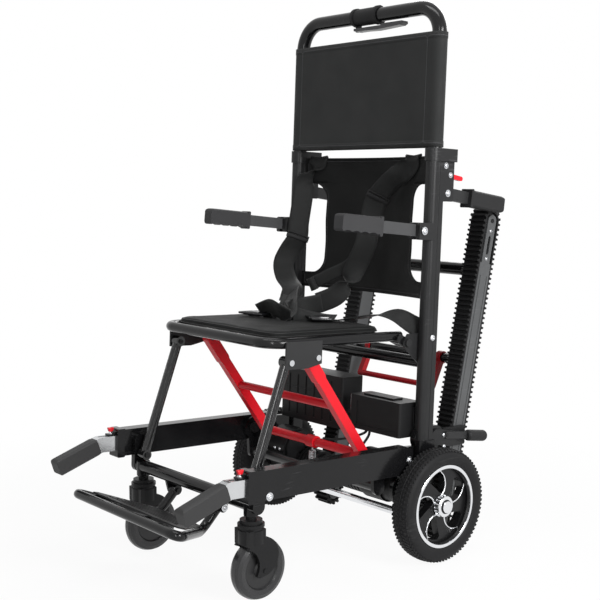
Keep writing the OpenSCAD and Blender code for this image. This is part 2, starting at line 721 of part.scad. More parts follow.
// Carry handle: square tube sliding in the rail, bent down into a rubber grip
module carry_handle(s) color(SILVER) chassis() side(s) difference() {
  union() {
    slab(rail_x - 11, rail_x + 11) {
      translate([carry_knee, carry_z - 17]) square([-330 - carry_knee, 34]);
      translate([carry_knee, carry_z]) rotate(180 + grip_dip) translate([0, -17]) square([60, 34]);
      translate([carry_knee, carry_z]) circle(17);
    }
    translate([0, carry_knee, carry_z]) rotate([grip_dip, 0, 0]) mirror([0, 1, 0]) intersection() {
      slab(rail_x - 14.5, rail_x + 14.5) grip_side(8, carry_grip, 38, 0);
      translate([rail_x, 0, 0]) rotate([-90, 0, 0]) cylinder(r = 21, h = 160);
    }
  }
  translate([rail_x - 3.3, carry_knee - 3, carry_z + 9]) cube([6.6, 164, 20]);
}
module carry_handle_left() carry_handle(1);
module carry_handle_right() carry_handle(-1);

// Red spring pin on the rail front
module lock_pin(s) color(RED) chassis() side(s) translate([rail_x, pin_y, 0]) {
  riser(carry_z + 11, tab_z + tab_t + 4) circle(3);
  riser(tab_z + tab_t + air, tab_z + tab_t + 2.5) circle(5.5);
  riser(tab_z + tab_t + 2, tab_z + tab_t + 11) circle(7.8);
}
module lock_pin_left() lock_pin(1);
module lock_pin_right() lock_pin(-1);

// Caster fork: stem, ringed head and a hood whose two leaves come down to the axle
caster_y = axle_y - 455;
caster_hub = [caster_trail, caster_r];
module fork_leaf() translate(caster_hub) difference() {
  union() {
    translate([-6, 30]) circle(40.5);
    translate([-40, 55]) square([42, 32]);
  }
  translate([-52, 14]) circle(38);
}
module caster_fork(s) color(BLACK) side(s) translate([0, caster_y, 0]) {
  translate([caster_x, 0, 150]) cylinder(r = 6, h = 56);
  translate([caster_x, 0, 167]) cylinder(r = 11, h = 8.7);
  difference() {
    union() {
      translate([caster_x, 0, 120]) cylinder(r = 27, h = 28);
      translate([caster_x, 0, 147]) cylinder(r = 25, h = 8);
      translate([caster_x, 0, 154]) cylinder(r = 27.5, h = 6);
      translate([caster_x, 0, 159]) cylinder(r = 23, h = 9);
      slab(caster_x - 24, caster_x + 24) fork_leaf();
    }
    slab(caster_x - 17, caster_x + 17) translate(caster_hub) circle(caster_r + 3);
  }
  bar_x(5, caster_x - 26, caster_x + 26, caster_hub);
}
module caster_fork_left() caster_fork(1);
module caster_fork_right() caster_fork(-1);

// Caster wheel: tyre round a plain dished hub
module caster_wheel(s) color(SOOT) side(s) translate([caster_x, caster_y + caster_trail, caster_r]) {
  rotate([0, 90, 0]) rotate_extrude() polygon([[5 + play, -15.5], [15, -15.5], [18, -11], [39, -9.5],
    [42, -13.5], [52, -15], [caster_r - 3, -12], [caster_r, -5], [caster_r, 5], [caster_r - 3, 12], [52, 15],
    [42, 13.5], [39, 9.5], [18, 11], [15, 15.5], [5 + play, 15.5]]);
}
module caster_wheel_left() caster_wheel(1);
module caster_wheel_right() caster_wheel(-1);

// Footrest: bent tube from two ears under the cross tube
arm_a = [79, foot_p[0], foot_p[1]];
arm_b = [79.6, -494, -29];
arm_c = [foot_side, -618, 9];
arm_d = [foot_side - 13, -632, 13.3];
plate_tilt = atan2(arm_c[2] - arm_b[2], arm_b[1] - arm_c[1]);
knee_r = 10.5;
module footrest_frame() color(BLACK) chassis() {
  both() {
    difference() {
      union() {
        bar_x(11, 70, 89.6, foot_p);
        rod(arm_a, arm_b, 10);
      }
      bar_x(5 + play, 50, 100, foot_p);
    }
    translate(arm_b) sphere(knee_r);
    rod(arm_b, arm_c, 10);
    translate(arm_c) sphere(knee_r);
    rod(arm_c, arm_d, 10);
    translate(arm_d) sphere(knee_r);
  }
  rod([-arm_d[0], arm_d[1], arm_d[2]], arm_d, 10);
}

// Ribbed plate on the footrest tube
module footplate() color(SOOT) chassis() translate(arm_b - [arm_b[0], 0, 0]) rotate([-plate_tilt, 0, 0]) {
  riser(10.3, 13.3) polygon([[-84, -6], [84, -6], [164, -106], [158, -122], [-158, -122], [-164, -106]]);
  for (k = [0 : 6]) translate([-78 - 8 * k, -18 - 14 * k, 13.3]) cube([156 + 16 * k, 4, 1.2]);
}

// Seat frame: round-cornered tube loop, rear bar and hinge eyes
seat_bend = 45;
module seat_frame() color(BLACK) chassis() {
  both() difference() {
    union() {
      rod([seat_x, seat_bend - seat_front, seat_z], [seat_x, -52, seat_z], seat_r);
      translate([seat_x - seat_bend, seat_bend - seat_front, seat_z]) rotate([180, 0, 0]) {
        rotate_extrude(angle = 90) translate([seat_bend, 0]) circle(seat_r);
      }
      slab(seat_x - 9, post_in + 0.2) strip(p1, [-66, seat_z - 5], 10);
    }
    bar_x(6 + play, 100, post_in + 20, p1);
  }
  bar_x(seat_r, seat_bend - seat_x, seat_x - seat_bend, [-seat_front, seat_z]);
  for (y = [-90, -190, -290]) bar_x(8, -seat_x, seat_x, [y, seat_z - 2]);
}

// Plates under the seat sides: leg bolts in front, brace bolts behind
bracket_out = post_in - seat_gap + 4;
module seat_brackets() color(GREY) chassis() both() {
  slab(post_in - seat_gap, bracket_out) {
    polygon([[-388, 370], [-292, 370], [-292, 322], [-330, 314], [-388, 315]]);
  }
  bar_x(5, leg_x - 14, bracket_out, p2);
  bar_x(6.2, bracket_out, bracket_out + 3.6, p2);
  bar_x(5, brace_x - 13, bracket_out, ps);
  bar_x(6.2, bracket_out, bracket_out + 3.6, ps);
}

// Ring of the cushion outline at inset d and height z, inside the seat tube
cushion_z = seat_z + 6 + air;
cushion_back = 80;
cushion_front = seat_front - seat_r - 1.5;
function pillow(d, z, n) = [for (i = [0 : n - 1]) let (
  a = 360 * i / n,
  w = seat_x - seat_r - 1.5 - d,
  h = (cushion_front - cushion_back) / 2 - d,
  c = pow(abs(cos(a)), 0.2) * sign(cos(a)),
  s = pow(abs(sin(a)), 0.2) * sign(sin(a))
) [w * c * (1 - 0.012 * (1 - s * s)),
  h * s * (1 - 0.015 * (1 - c * c)) - (cushion_front + cushion_back) / 2, z]];

// Seat cushion: padded, crowned, with drawn-in sides
module seat_cushion() color(BLACK) chassis() {
  n = 56;
  z0 = cushion_z;
  t = cushion_t;
  sect = [[26, 0], [6, 1], [1, 0.22 * t], [0, 0.45 * t], [1, 0.72 * t], [5, 0.87 * t], [20, 0.94 * t],
    [60, 0.98 * t], [110, t]];
  m = len(sect);
  rings = [for (q = sect) pillow(q[0], z0 + q[1], n)];
  sides = [for (i = [0 : m - 2]) for (j = [0 : n - 1]) each [
    [i * n + (j + 1) % n, i * n + j, i * n + n + j],
    [i * n + n + (j + 1) % n, i * n + (j + 1) % n, i * n + n + j]]];
  low = [for (j = [1 : n - 2]) [0, j, j + 1]];
  high = [for (j = [1 : n - 2]) [m * n - n, m * n - n + j + 1, m * n - n + j]];
  polyhedron(points = [for (r = rings) each r], faces = concat(sides, low, high));
}

// Belt pile on the seat: folded webbing and its side-release buckle
module belt_pile() color(BLACK) chassis() translate([-70, -190, cushion_z + cushion_t + 0.5]) {
  riser(0, 5) pad([-42, 10], [110, 46], 4);
  translate([14, -6, 0]) rotate(24) riser(5.2, 10) pad([-40, 0], [100, 44], 4);
  translate([-10, 4, 0]) riser(10.2, 22) pad([-26, 6], [64, 40], 8);
}

// Front legs: fluted tubes from the cross member to the seat, with an eye at each end
leg_a = atan2(p2[1] - p3[1], p2[0] - p3[0]);
leg_len = norm(p2 - p3);
module front_legs() color(BLACK) chassis() both() difference() {
  union() {
    slab(leg_out - leg_w, leg_out) {
      translate(p3) circle(11.5);
      translate(p2) circle(11.5);
    }
    translate([leg_x, p3[0], p3[1]]) rotate([leg_a - 90, 0, 0]) riser(3, leg_len - 3) difference() {
      circle(10.6);
      for (k = [0 : 8]) rotate(40 * k + 20) translate([11.3, 0]) circle(1.7, $fn = 16);
    }
  }
  bar_x(6 + play, 100, post_x, p3);
  bar_x(5 + play, 100, post_x, p2);
}

// Red brace: two struts in short sleeves, two cross bars and the spring clamp
module brace_frame() color(RED) chassis() {
  d = (pr - ps) / norm(pr - ps);
  mid = ps + d * 145;
  both() difference() {
    union() {
      slab(brace_x - 9, brace_x + 9) strip(ps + d * 50, pr, 11);
      slab(brace_out - brace_w, brace_out) strip(ps, ps + d * 62, 13);
    }
    bar_x(5 + play, 100, post_x, ps);
  }
  bar_x(10, -brace_x, brace_x, pr);
  bar_x(9, -brace_x, brace_x, mid);
  slab(-14, 14) translate(pr) circle(14);
}

// Coil spring under the lower cross bar, with a hook at each end
turns = 7;
coil_r = 7;
wire_r = 1.3;
coil_top = pr[1] - 15;
coil = concat(
  [[0, pr[0], pr[1] - 14.6], [0, pr[0], coil_top - 3]],
  [for (i = [0 : 16 * turns]) let (a = 22.5 * i)
    [coil_r * cos(a), pr[0] + coil_r * sin(a), coil_top - 6 - 3.6 * i / 16]],
  [[0, pr[0], coil_top - 8 - 3.6 * turns], [0, pr[0], coil_top - 11 - 3.6 * turns]]);
coil_gap = min([for (i = [2 : len(coil) - 3]) for (j = [i + 8 : 1 : min(i + 24, len(coil) - 3)])
  norm(coil[i] - coil[j])]) - 2 * wire_r;
echo(coil_gap = coil_gap);
module brace_spring() color(SILVER) chassis() cord(coil, wire_r, 6);

posts();
foot_frames();
post_heads();
arm_brackets();
back_cross_tube();
seat_gussets();
pivot_pins();
base_tubes();
drive_units();
control_case();
battery_case();
axle_stubs();
back_sling();
shoulder_straps();
waist_strap();
motor_leads();
tyre_left();
tyre_right();
rim_left();
rim_right();
push_handle();
handle_sleeve();
head_panel();
release_lever();
armrest_left();
armrest_right();
rear_handle_left();
rear_handle_right();
catch_left();
catch_right();
battery_latch();
track_channels();
track_belts();
track_tubes();
crawler_arms();
pulley_low_left();
pulley_low_right();
pulley_top_left();
pulley_top_right();
crawler_lever();
release_bar();
rails();
front_cross();
carry_handle_left();
carry_handle_right();
lock_pin_left();
lock_pin_right();
caster_fork_left();
caster_fork_right();
caster_wheel_left();
caster_wheel_right();
footrest_frame();
footplate();
seat_frame();
seat_brackets();
seat_cushion();
belt_pile();
front_legs();
brace_frame();
brace_spring();
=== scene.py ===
"""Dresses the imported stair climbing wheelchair: finishes, cloth, harness, tyres, fasteners and studio."""

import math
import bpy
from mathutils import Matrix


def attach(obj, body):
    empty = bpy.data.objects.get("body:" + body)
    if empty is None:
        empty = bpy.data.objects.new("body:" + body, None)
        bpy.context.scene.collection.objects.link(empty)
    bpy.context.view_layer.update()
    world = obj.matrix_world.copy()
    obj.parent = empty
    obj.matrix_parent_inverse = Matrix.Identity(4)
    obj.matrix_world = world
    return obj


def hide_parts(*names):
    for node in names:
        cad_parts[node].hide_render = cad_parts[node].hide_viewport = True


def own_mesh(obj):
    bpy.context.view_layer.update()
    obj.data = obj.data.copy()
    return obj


bl_info = {
    "name": "Stair climbing wheelchair",
    "version": (1, 0, 0),
    "blender": (4, 5, 0),
    "location": "View3D > Sidebar > Wheelchair",
    "description": "Finishes, soft goods, wheels and fasteners for a folding stair climbing wheelchair",
    "category": "Object",
}

import bmesh
import bpy
from bpy.props import FloatProperty, FloatVectorProperty, IntProperty, PointerProperty
from mathutils import Matrix, Vector

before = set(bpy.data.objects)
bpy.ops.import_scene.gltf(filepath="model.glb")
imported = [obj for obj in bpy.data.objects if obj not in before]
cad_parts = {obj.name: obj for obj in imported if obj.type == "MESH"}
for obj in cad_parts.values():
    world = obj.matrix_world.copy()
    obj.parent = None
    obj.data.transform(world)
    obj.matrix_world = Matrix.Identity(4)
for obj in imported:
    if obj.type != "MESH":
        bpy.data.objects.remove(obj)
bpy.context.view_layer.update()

# Sizes shared with the solids, in millimetres on the chair's own leaned axes, rear axle at the origin
MM = 0.001
LEAN = math.radians(2.6)
AXLE_Y = 184.313
WHEEL_R = 127.0
WHEEL_X = 281.0
RIM_R = 90.0
POST_X = 225.0
POST_TOP = 751.0
COLLAR_TOP = 779.0
HANDLE_TOP = 1101.0
HANDLE_R = 16.0
RAIL_OUT = 252.0
SLING_SAG = 30.0
SLING_HALF = 209.4
SLING_STEPS = 18
SLING_DROP = 305.0
SLING_RISE = 12.0
SLING_FLAT = 424.5
CUSHION_LOW = 372.3
CUSHION_T = 15.0
CUSHION_SHARE = 0.52
ARM_Z = 598.6
TRACK_FOOT = Vector((0.0, 100.6, -86.5))
TRACK_LEAN = math.radians(10.17)
TRACK_LEN = 722.0
TRACK_OUT = 207.5
CASTER_HUB = Vector((196.0, AXLE_Y - 438.0, 63.0))
SIDES = (("left", 1), ("right", -1))
ROW = Matrix.Scale(MM, 4)
SIDEWAYS = Matrix.Rotation(math.pi / 2, 4, "Y")
CHASSIS = ROW @ Matrix.Translation((0, AXLE_Y, WHEEL_R)) @ Matrix.Rotation(-LEAN, 4, "X")


def spot(x, y, z):
    """Point on the chair's own axes to the row frame, in metres."""
    return CHASSIS @ Vector((x, y, z))


def heading(y, z):
    """Direction in the chair's side view to the row frame."""
    return (Matrix.Rotation(-LEAN, 3, "X") @ Vector((0, y, z))).normalized()


def track_spot(x, u):
    """Point u along a track, on the chair's own axes."""
    return TRACK_FOOT + Vector((x, u * math.sin(TRACK_LEAN), u * math.cos(TRACK_LEAN)))


def spline(points, steps):
    """Smooth run through given points, as the solids' own straps and leads are drawn."""
    pts = [Vector(p) for p in points]
    run = []
    for i in range(len(pts) - 1):
        a, b, c, d = pts[max(i - 1, 0)], pts[i], pts[i + 1], pts[min(i + 2, len(pts) - 1)]
        for k in range(steps):
            t = k / steps
            run.append(0.5 * (2 * b + (c - a) * t + (2 * a - 5 * b + 4 * c - d) * t * t
                              + (3 * b - a - 3 * c + d) * t ** 3))
    return run + [pts[-1]]


def rounded(points, radii, steps):
    """Corners of a run of straights replaced by arcs, one radius for each."""
    pts = [Vector(p) for p in points]
    run = [pts[0]]
    for a, b, c, radius in zip(pts, pts[1:], pts[2:], radii):
        u, v = (a - b).normalized(), (c - b).normalized()
        half = u.angle(v) / 2
        reach = min(radius / math.tan(half), (a - b).length * 0.49, (c - b).length * 0.49)
        p, q = b + u * reach, b + v * reach
        for k in range(steps + 1):
            t = k / steps
            run.append(p * (1 - t) ** 2 + b * 2 * t * (1 - t) + q * t * t)
    return run + [pts[-1]]


def run_length(points):
    return sum((b - a).length for a, b in zip(points, points[1:]))


# Forms: small meshes that are laid into a piece


def turned(profile, steps=32, closed=False):
    """Revolve of (radius, height) points about Z."""
    bm = bmesh.new()
    verts = [bm.verts.new((r, 0, h)) for r, h in profile]
    pairs = list(zip(verts, verts[1:])) + ([(verts[-1], verts[0])] if closed else [])
    edges = [bm.edges.new(p) for p in pairs]
    bmesh.ops.spin(bm, geom=verts + edges, cent=(0, 0, 0), axis=(0, 0, 1), dvec=(0, 0, 0),
                   angle=math.tau, steps=steps, use_merge=True, use_normal_flip=False, use_duplicate=False)
    bmesh.ops.remove_doubles(bm, verts=bm.verts, dist=0.001)
    bmesh.ops.recalc_face_normals(bm, faces=bm.faces)
    return bm


def cube(size):
    bm = bmesh.new()
    bmesh.ops.create_cube(bm, size=1.0)
    bmesh.ops.scale(bm, vec=size, verts=bm.verts)
    return bm


def soften(bm, offset, segments=3):
    """Rounds every edge of a form."""
    bmesh.ops.bevel(bm, geom=bm.edges[:], offset=offset, segments=segments, profile=0.5, affect="EDGES",
                    material=-1)
    return bm


def block(size, bevel, segments=3):
    """Box with softened edges."""
    return soften(cube(size), bevel, segments)


def round_curve(name, points, radius, resolution, cyclic=False):
    """Curve object data: straights between points, with a round section."""
    curve = bpy.data.curves.new(name, "CURVE")
    curve.dimensions = "3D"
    curve.bevel_depth = radius
    curve.bevel_resolution = resolution
    curve.use_fill_caps = not cyclic
    line = curve.splines.new("POLY")
    line.points.add(len(points) - 1)
    for slot, p in zip(line.points, points):
        slot.co = (*p, 1.0)
    line.use_cyclic_u = cyclic
    return curve


def tube(points, radius, cyclic=False, resolution=4, tip=1.0):
    """Round tube along a run of points; tip is the share of the radius left at its end."""
    curve = round_curve("tube", points, radius, resolution, cyclic)
    for i, slot in enumerate(curve.splines[0].points):
        slot.radius = 1.0 + (tip - 1.0) * i / len(points)
    holder = bpy.data.objects.new("tube", curve)
    mesh = bpy.data.meshes.new_from_object(holder)
    bm = bmesh.new()
    bm.from_mesh(mesh)
    bpy.data.objects.remove(holder)
    bpy.data.curves.remove(curve)
    bpy.data.meshes.remove(mesh)
    bmesh.ops.remove_doubles(bm, verts=bm.verts, dist=0.0005)
    bmesh.ops.recalc_face_normals(bm, faces=bm.faces)
    return bm


def cloth_grid(columns, rows, place, flat):
    """Grid of cloth: place(u, v) sets each point, and the UV map holds the flat cut in metres."""
    bm = bmesh.new()
    bmesh.ops.create_grid(bm, x_segments=len(columns) - 1, y_segments=len(rows) - 1, size=1.0)
    uv = bm.loops.layers.uv.new("UVMap")
    nx, ny = len(columns) - 1, len(rows) - 1
    cut = {}
    for v in bm.verts:
        i, j = round((v.co.x + 1) / 2 * nx), round((v.co.y + 1) / 2 * ny)
        cut[v.index] = (columns[i], rows[j])
    for face in bm.faces:
        for loop in face.loops:
            u, w = cut[loop.vert.index]
            loop[uv].uv = (u * flat[0], w * flat[1])
    for v in bm.verts:
        v.co = place(*cut[v.index])
    return bm


def webbing(points, across, width, twist=(), gather=()):
    """Flat webbing along a run; twist holds (share of run, degrees) stops, and gather (share, span, loss)."""
    n = len(points) - 1
    length = run_length(points) * MM
    rows = [i / n for i in range(n + 1)]
    columns = [i / 6 for i in range(7)]

    def turn(t):
        for (t0, a0), (t1, a1) in zip(twist, twist[1:]):
            if t0 <= t <= t1:
                k = (t - t0) / (t1 - t0)
                return math.radians(a0 + (a1 - a0) * k * k * (3 - 2 * k))
        return math.radians(twist[-1][1]) if twist and t > twist[-1][0] else 0.0

    def place(u, t):
        i = round(t * n)
        along = (points[min(i + 1, n)] - points[max(i - 1, 0)]).normalized()
        side = Vector(across(t) if callable(across) else across)
        side = (side - along * side.dot(along)).normalized()
        side = Matrix.Rotation(turn(t), 3, along) @ side
        bow = side.cross(along) * (0.9 * (1 - (2 * u - 1) ** 2))
        wide = width * (1 - sum(loss * math.exp(-((t - at) / span) ** 2) for at, span, loss in gather))
        return points[i] + side * (u - 0.5) * wide + bow

    return cloth_grid(columns, rows, place, (width * MM, length))


def aim(at, axis):
    """Frame that stands a form's Z on an axis at a point."""
    turn = Vector(axis).to_track_quat("Z", "Y").to_matrix().to_4x4()
    return Matrix.Translation(at) @ turn


def lay(target, form, where=None):
    """Adds a form to a piece's mesh and frees it."""
    if where is not None:
        form.transform(where)
        if where.to_3x3().determinant() < 0:
            bmesh.ops.reverse_faces(form, faces=form.faces)
    mesh = bpy.data.meshes.new("form")
    form.to_mesh(mesh)
    form.free()
    target.from_mesh(mesh)
    bpy.data.meshes.remove(mesh)


def ring_of(form, count):
    """Copies a form round Z."""
    bmesh.ops.spin(form, geom=form.verts[:] + form.edges[:] + form.faces[:], cent=(0, 0, 0), axis=(0, 0, 1),
                   dvec=(0, 0, 0), angle=math.tau * (count - 1) / count, steps=count - 1, use_merge=False,
                   use_normal_flip=False, use_duplicate=True)
    return form


def make_piece(name, bm, finish, body, where=CHASSIS, sharp=38.0, stands_for=(), uv_safe=False):
    """Finished object at the origin, riding on its body."""
    if not uv_safe:
        bmesh.ops.recalc_face_normals(bm, faces=bm.faces)
    bm.transform(where)
    mesh = bpy.data.meshes.new(name)
    bm.to_mesh(mesh)
    bm.free()
    mesh.materials.append(FINISH[finish])
    mesh.shade_smooth()
    mesh.set_sharp_from_angle(angle=math.radians(sharp))
    obj = bpy.data.objects.new(name, mesh)
    bpy.context.scene.collection.objects.link(obj)
    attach(obj, body)
    if stands_for:
        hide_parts(*stands_for)
    return obj


def thicken(obj, thickness):
    """Gives a sheet its thickness."""
    wall = obj.modifiers.new("Thickness", "SOLIDIFY")
    wall.thickness = thickness
    wall.offset = 0.0


def bake_modifiers(obj):
    """Makes what the modifiers show the piece's own mesh."""
    finish = obj.data.materials[0]
    mesh = bpy.data.meshes.new_from_object(obj.evaluated_get(bpy.context.evaluated_depsgraph_get()))
    mesh.name = obj.name
    mesh.materials.clear()
    mesh.materials.append(finish)
    obj.modifiers.clear()
    obj.data = mesh


# Finishes

FINISH = {}
ROUGH_SPREAD = 0.14


def add_node(tree, kind, settings=(), **inputs):
    """Node with its settings, its constant inputs and its links."""
    node = tree.nodes.new(kind)
    for key, value in dict(settings).items():
        setattr(node, key, value)
    for key, value in inputs.items():
        by_number = key[0] == "i" and key[1:].isdigit()
        socket = node.inputs[int(key[1:]) if by_number else key.replace("_", " ")]
        if isinstance(value, bpy.types.NodeSocket):
            tree.links.new(value, socket)
        else:
            socket.default_value = value
    return node


def math_node(tree, operation, a, b=0.0, c=None):
    extra = {} if c is None else {"i2": c}
    return add_node(tree, "ShaderNodeMath", {"operation": operation}, i0=a, i1=b, **extra).outputs[0]


def vector_node(tree, operation, **inputs):
    return add_node(tree, "ShaderNodeVectorMath", {"operation": operation}, **inputs)


def place_group(tree, name, **inputs):
    return add_node(tree, "ShaderNodeGroup", {"node_tree": bpy.data.node_groups[name]}, **inputs)


def blend_colour(tree, factor, a, b):
    return add_node(tree, "ShaderNodeMix", {"data_type": "RGBA"}, i0=factor, i6=a, i7=b).outputs[2]


def shade_group(name, wire, outputs, **inputs):
    """Shader group: wire(tree, *inputs) lays its nodes and gives a socket for each output."""
    tree = bpy.data.node_groups.new(name, "ShaderNodeTree")
    for label, value in inputs.items():
        kind = "Vector" if value is None else "Color" if isinstance(value, tuple) else "Float"
        socket = tree.interface.new_socket(label, in_out="INPUT", socket_type="NodeSocket" + kind)
        if value is not None:
            socket.default_value = value
    for label in outputs:
        kind = "Color" if label == "Colour" else "Float"
        tree.interface.new_socket(label, in_out="OUTPUT", socket_type="NodeSocket" + kind)
    start, end = tree.nodes.new("NodeGroupInput"), tree.nodes.new("NodeGroupOutput")
    for socket, target in zip(wire(tree, *start.outputs[:len(inputs)]), end.inputs):
        tree.links.new(socket, target)


def build_groups():
    """Shared surface effects."""
    def noise(tree, place, scale, detail):
        return add_node(tree, "ShaderNodeTexNoise", Vector=place, Scale=scale, Detail=detail).outputs["Fac"]

    def fine_grain(tree, place, scale):
        return noise(tree, place, scale, 3.0), noise(tree, place, 17.0, 5.0)

    def tone_drift(tree, place, colour, amount, scale):
        swing = math_node(tree, "MULTIPLY",
                          math_node(tree, "SUBTRACT", noise(tree, place, scale, 4.0), 0.5), amount)
        level = math_node(tree, "MULTIPLY_ADD", swing, 2.0, 1.0)
        return [vector_node(tree, "SCALE", i0=colour, Scale=level).outputs[0]]

    def scuffs(tree, place, amount):
        drawn = add_node(tree, "ShaderNodeMapping", Vector=place, Scale=(160.0, 22.0, 260.0),
                         Rotation=(0.3, 0.5, 0.2))
        streak, where = noise(tree, drawn.outputs[0], 1.0, 6.0), noise(tree, place, 11.0, 2.0)
        cut = math_node(tree, "SUBTRACT", math_node(tree, "MULTIPLY", streak, where), 0.36)
        mask = math_node(tree, "MULTIPLY", math_node(tree, "MULTIPLY", cut, 14.0), amount)
        return [add_node(tree, "ShaderNodeClamp", Value=mask).outputs[0]]

    def weave(tree, place, across, along):
        axes = add_node(tree, "ShaderNodeSeparateXYZ", Vector=place).outputs
        warp, weft = math_node(tree, "MULTIPLY", axes[0], across), math_node(tree, "MULTIPLY", axes[1], along)
        slant = math_node(tree, "SINE",
                          math_node(tree, "MULTIPLY", math_node(tree, "ADD", warp, weft), math.tau))
        cross = math_node(tree, "SINE", math_node(tree, "MULTIPLY", warp, 2 * math.tau))
        height = math_node(tree, "MULTIPLY_ADD", math_node(tree, "MULTIPLY", slant, cross), 0.5, 0.5)
        # The tone is painted shade: the cloth is drawn darker where the weave is low and lighter where it is
        # high.
        return height, math_node(tree, "MULTIPLY_ADD", height, 0.3, 0.85)

    def beyond_plane(tree, place, origin, axis):
        gap = vector_node(tree, "SUBTRACT", i0=place, i1=origin).outputs[0]
        dot = vector_node(tree, "DOT_PRODUCT", i0=gap, i1=axis).outputs["Value"]
        return [math_node(tree, "GREATER_THAN", dot, 0.0)]

    def inside_round(tree, place, centre, radius):
        gap = vector_node(tree, "SUBTRACT", i0=place, i1=centre).outputs[0]
        flat = vector_node(tree, "MULTIPLY", i0=gap, i1=(0.0, 1.0, 1.0)).outputs[0]
        size = vector_node(tree, "LENGTH", i0=flat).outputs["Value"]
        return [math_node(tree, "LESS_THAN", size, radius)]

    def outboard(tree, place, reach):
        wide = add_node(tree, "ShaderNodeSeparateXYZ", Vector=place).outputs[0]
        return [math_node(tree, "GREATER_THAN", math_node(tree, "ABSOLUTE", wide), reach)]

    def stitch_line(tree, edge, run, inset):
        off = math_node(tree, "ABSOLUTE", math_node(tree, "SUBTRACT", edge, inset))
        near = math_node(tree, "LESS_THAN", off, 0.0006)
        dash = math_node(tree, "LESS_THAN",
                         math_node(tree, "FRACT", math_node(tree, "MULTIPLY", run, 260.0)), 0.62)
        return [math_node(tree, "MULTIPLY", near, dash)]

    shade_group("Fine grain", fine_grain, ("Height", "Patch"), Vector=None, Scale=700.0)
    shade_group("Tone drift", tone_drift, ("Colour",), Vector=None, Colour=(0.5, 0.5, 0.5, 1), Amount=0.15,
                Scale=9.0)
    shade_group("Scuffs", scuffs, ("Mask",), Vector=None, Amount=0.5)
    shade_group("Weave", weave, ("Height", "Tone"), Vector=None, Across=900.0, Along=900.0)
    shade_group("Beyond plane", beyond_plane, ("Mask",), Vector=None, Origin=None, Axis=None)
    shade_group("Inside round", inside_round, ("Mask",), Vector=None, Centre=None, Radius=0.01)
    shade_group("Outboard", outboard, ("Mask",), Vector=None, Reach=0.2)
    shade_group("Stitch line", stitch_line, ("Mask",), Edge=0.0, Run=0.0, Inset=0.008)


def shade(colour, share):
    return tuple(share * c for c in colour)


def solid(colour):
    return (*colour, 1.0)


def new_finish(name, colour, rough, metal=0.0, sheen=0.0, spec=0.5, grain=900.0, depth=50.0, drift=0.18,
               scuff=0.0, scuff_colour=(0.12, 0.12, 0.125), weave=None, zone=None, other=None, stitch=False):
    """Procedural finish; depth is the bump in micrometres, zone a mask group, other what lies in it."""
    mat = bpy.data.materials.new(name)
    mat.use_nodes = True
    tree = mat.node_tree
    bsdf = tree.nodes["Principled BSDF"]
    bsdf.inputs["Specular IOR Level"].default_value = spec
    bsdf.inputs["Sheen Weight"].default_value = sheen
    bsdf.inputs["Metallic"].default_value = metal
    where = add_node(tree, "ShaderNodeTexCoord")
    place = where.outputs["Object"]
    base = solid(colour)
    rough_low, rough_high = rough * (1 - ROUGH_SPREAD), min(1.0, rough * (1 + ROUGH_SPREAD))
    patch = place_group(tree, "Fine grain", Vector=place, Scale=grain)
    level = add_node(tree, "ShaderNodeMapRange", Value=patch.outputs["Patch"])
    level.inputs["From Min"].default_value, level.inputs["From Max"].default_value = 0.3, 0.7
    level.inputs["To Min"].default_value, level.inputs["To Max"].default_value = rough_low, rough_high
    roughness = level.outputs[0]
    if zone:
        group, values = zone
        mask = place_group(tree, group, Vector=place, **values).outputs[0]
        base = blend_colour(tree, mask, base, solid(other["colour"]))
        swap = add_node(tree, "ShaderNodeMix", i0=mask, i2=roughness, i3=other["rough"])
        roughness = swap.outputs[0]
        if other.get("metal", 0.0) != metal:
            shine = add_node(tree, "ShaderNodeMix", i0=mask, i2=metal, i3=other.get("metal", 0.0))
            tree.links.new(shine.outputs[0], bsdf.inputs["Metallic"])
    shown = place_group(tree, "Tone drift", Vector=place, Colour=base, Amount=drift).outputs[0]
    height = patch.outputs["Height"]
    if weave:
        source, across, along = weave
        cloth = place_group(tree, "Weave", Vector=where.outputs[source], Across=across, Along=along)
        # The weave's tone darkens the cloth in the weave's hollows: painted shade.
        shown = vector_node(tree, "SCALE", i0=shown, Scale=cloth.outputs["Tone"]).outputs[0]
        height = cloth.outputs["Height"]
    if stitch:
        edge = add_node(tree, "ShaderNodeAttribute", {"attribute_name": "edge"})
        run = add_node(tree, "ShaderNodeAttribute", {"attribute_name": "run"})
        sewn = place_group(tree, "Stitch line", Edge=edge.outputs["Fac"], Run=run.outputs["Fac"]).outputs[0]
        shown = blend_colour(tree, sewn, shown, (0.075, 0.075, 0.08, 1.0))
        height = math_node(tree, "MULTIPLY_ADD", sewn, 2.5, height)
    if scuff:
        marks = place_group(tree, "Scuffs", Vector=place, Amount=scuff).outputs[0]
        shown = blend_colour(tree, marks, shown, solid(scuff_colour))
        roughness = math_node(tree, "MULTIPLY_ADD", marks, 0.15, roughness)
    bump = add_node(tree, "ShaderNodeBump", Height=height, Strength=1.0, Distance=depth * 1e-6)
    tree.links.new(shown, bsdf.inputs["Base Color"])
    tree.links.new(roughness, bsdf.inputs["Roughness"])
    tree.links.new(bump.outputs[0], bsdf.inputs["Normal"])
    FINISH[name] = mat


# Settings


def power(name, description, default):
    return FloatProperty(name=name, description=description, default=default, unit="POWER")


def length(name, description, default):
    return FloatProperty(name=name, description=description, default=default * MM, unit="LENGTH")


def tint(name, description, *default):
    return FloatVectorProperty(name=name, description=description, default=default, subtype="COLOR")


class StudioSettings(bpy.types.PropertyGroup):
    lens: FloatProperty(name="Lens", description="Focal length that frames the chair", default=66.32,
                        min=20, max=200)
    key: power("Key light", "Power of the large light on the chair's left", 112.0)
    strip: power("Strip light", "Power of the tall strip before the chair", 24.0)
    top: power("Top light", "Power of the strip overhead", 24.0)
    rim: power("Back light", "Power of the light behind the chair", 28.0)
    ambient: FloatProperty(name="Ambient", description="Strength of the plain surroundings", default=0.14,
                           min=0, max=1)


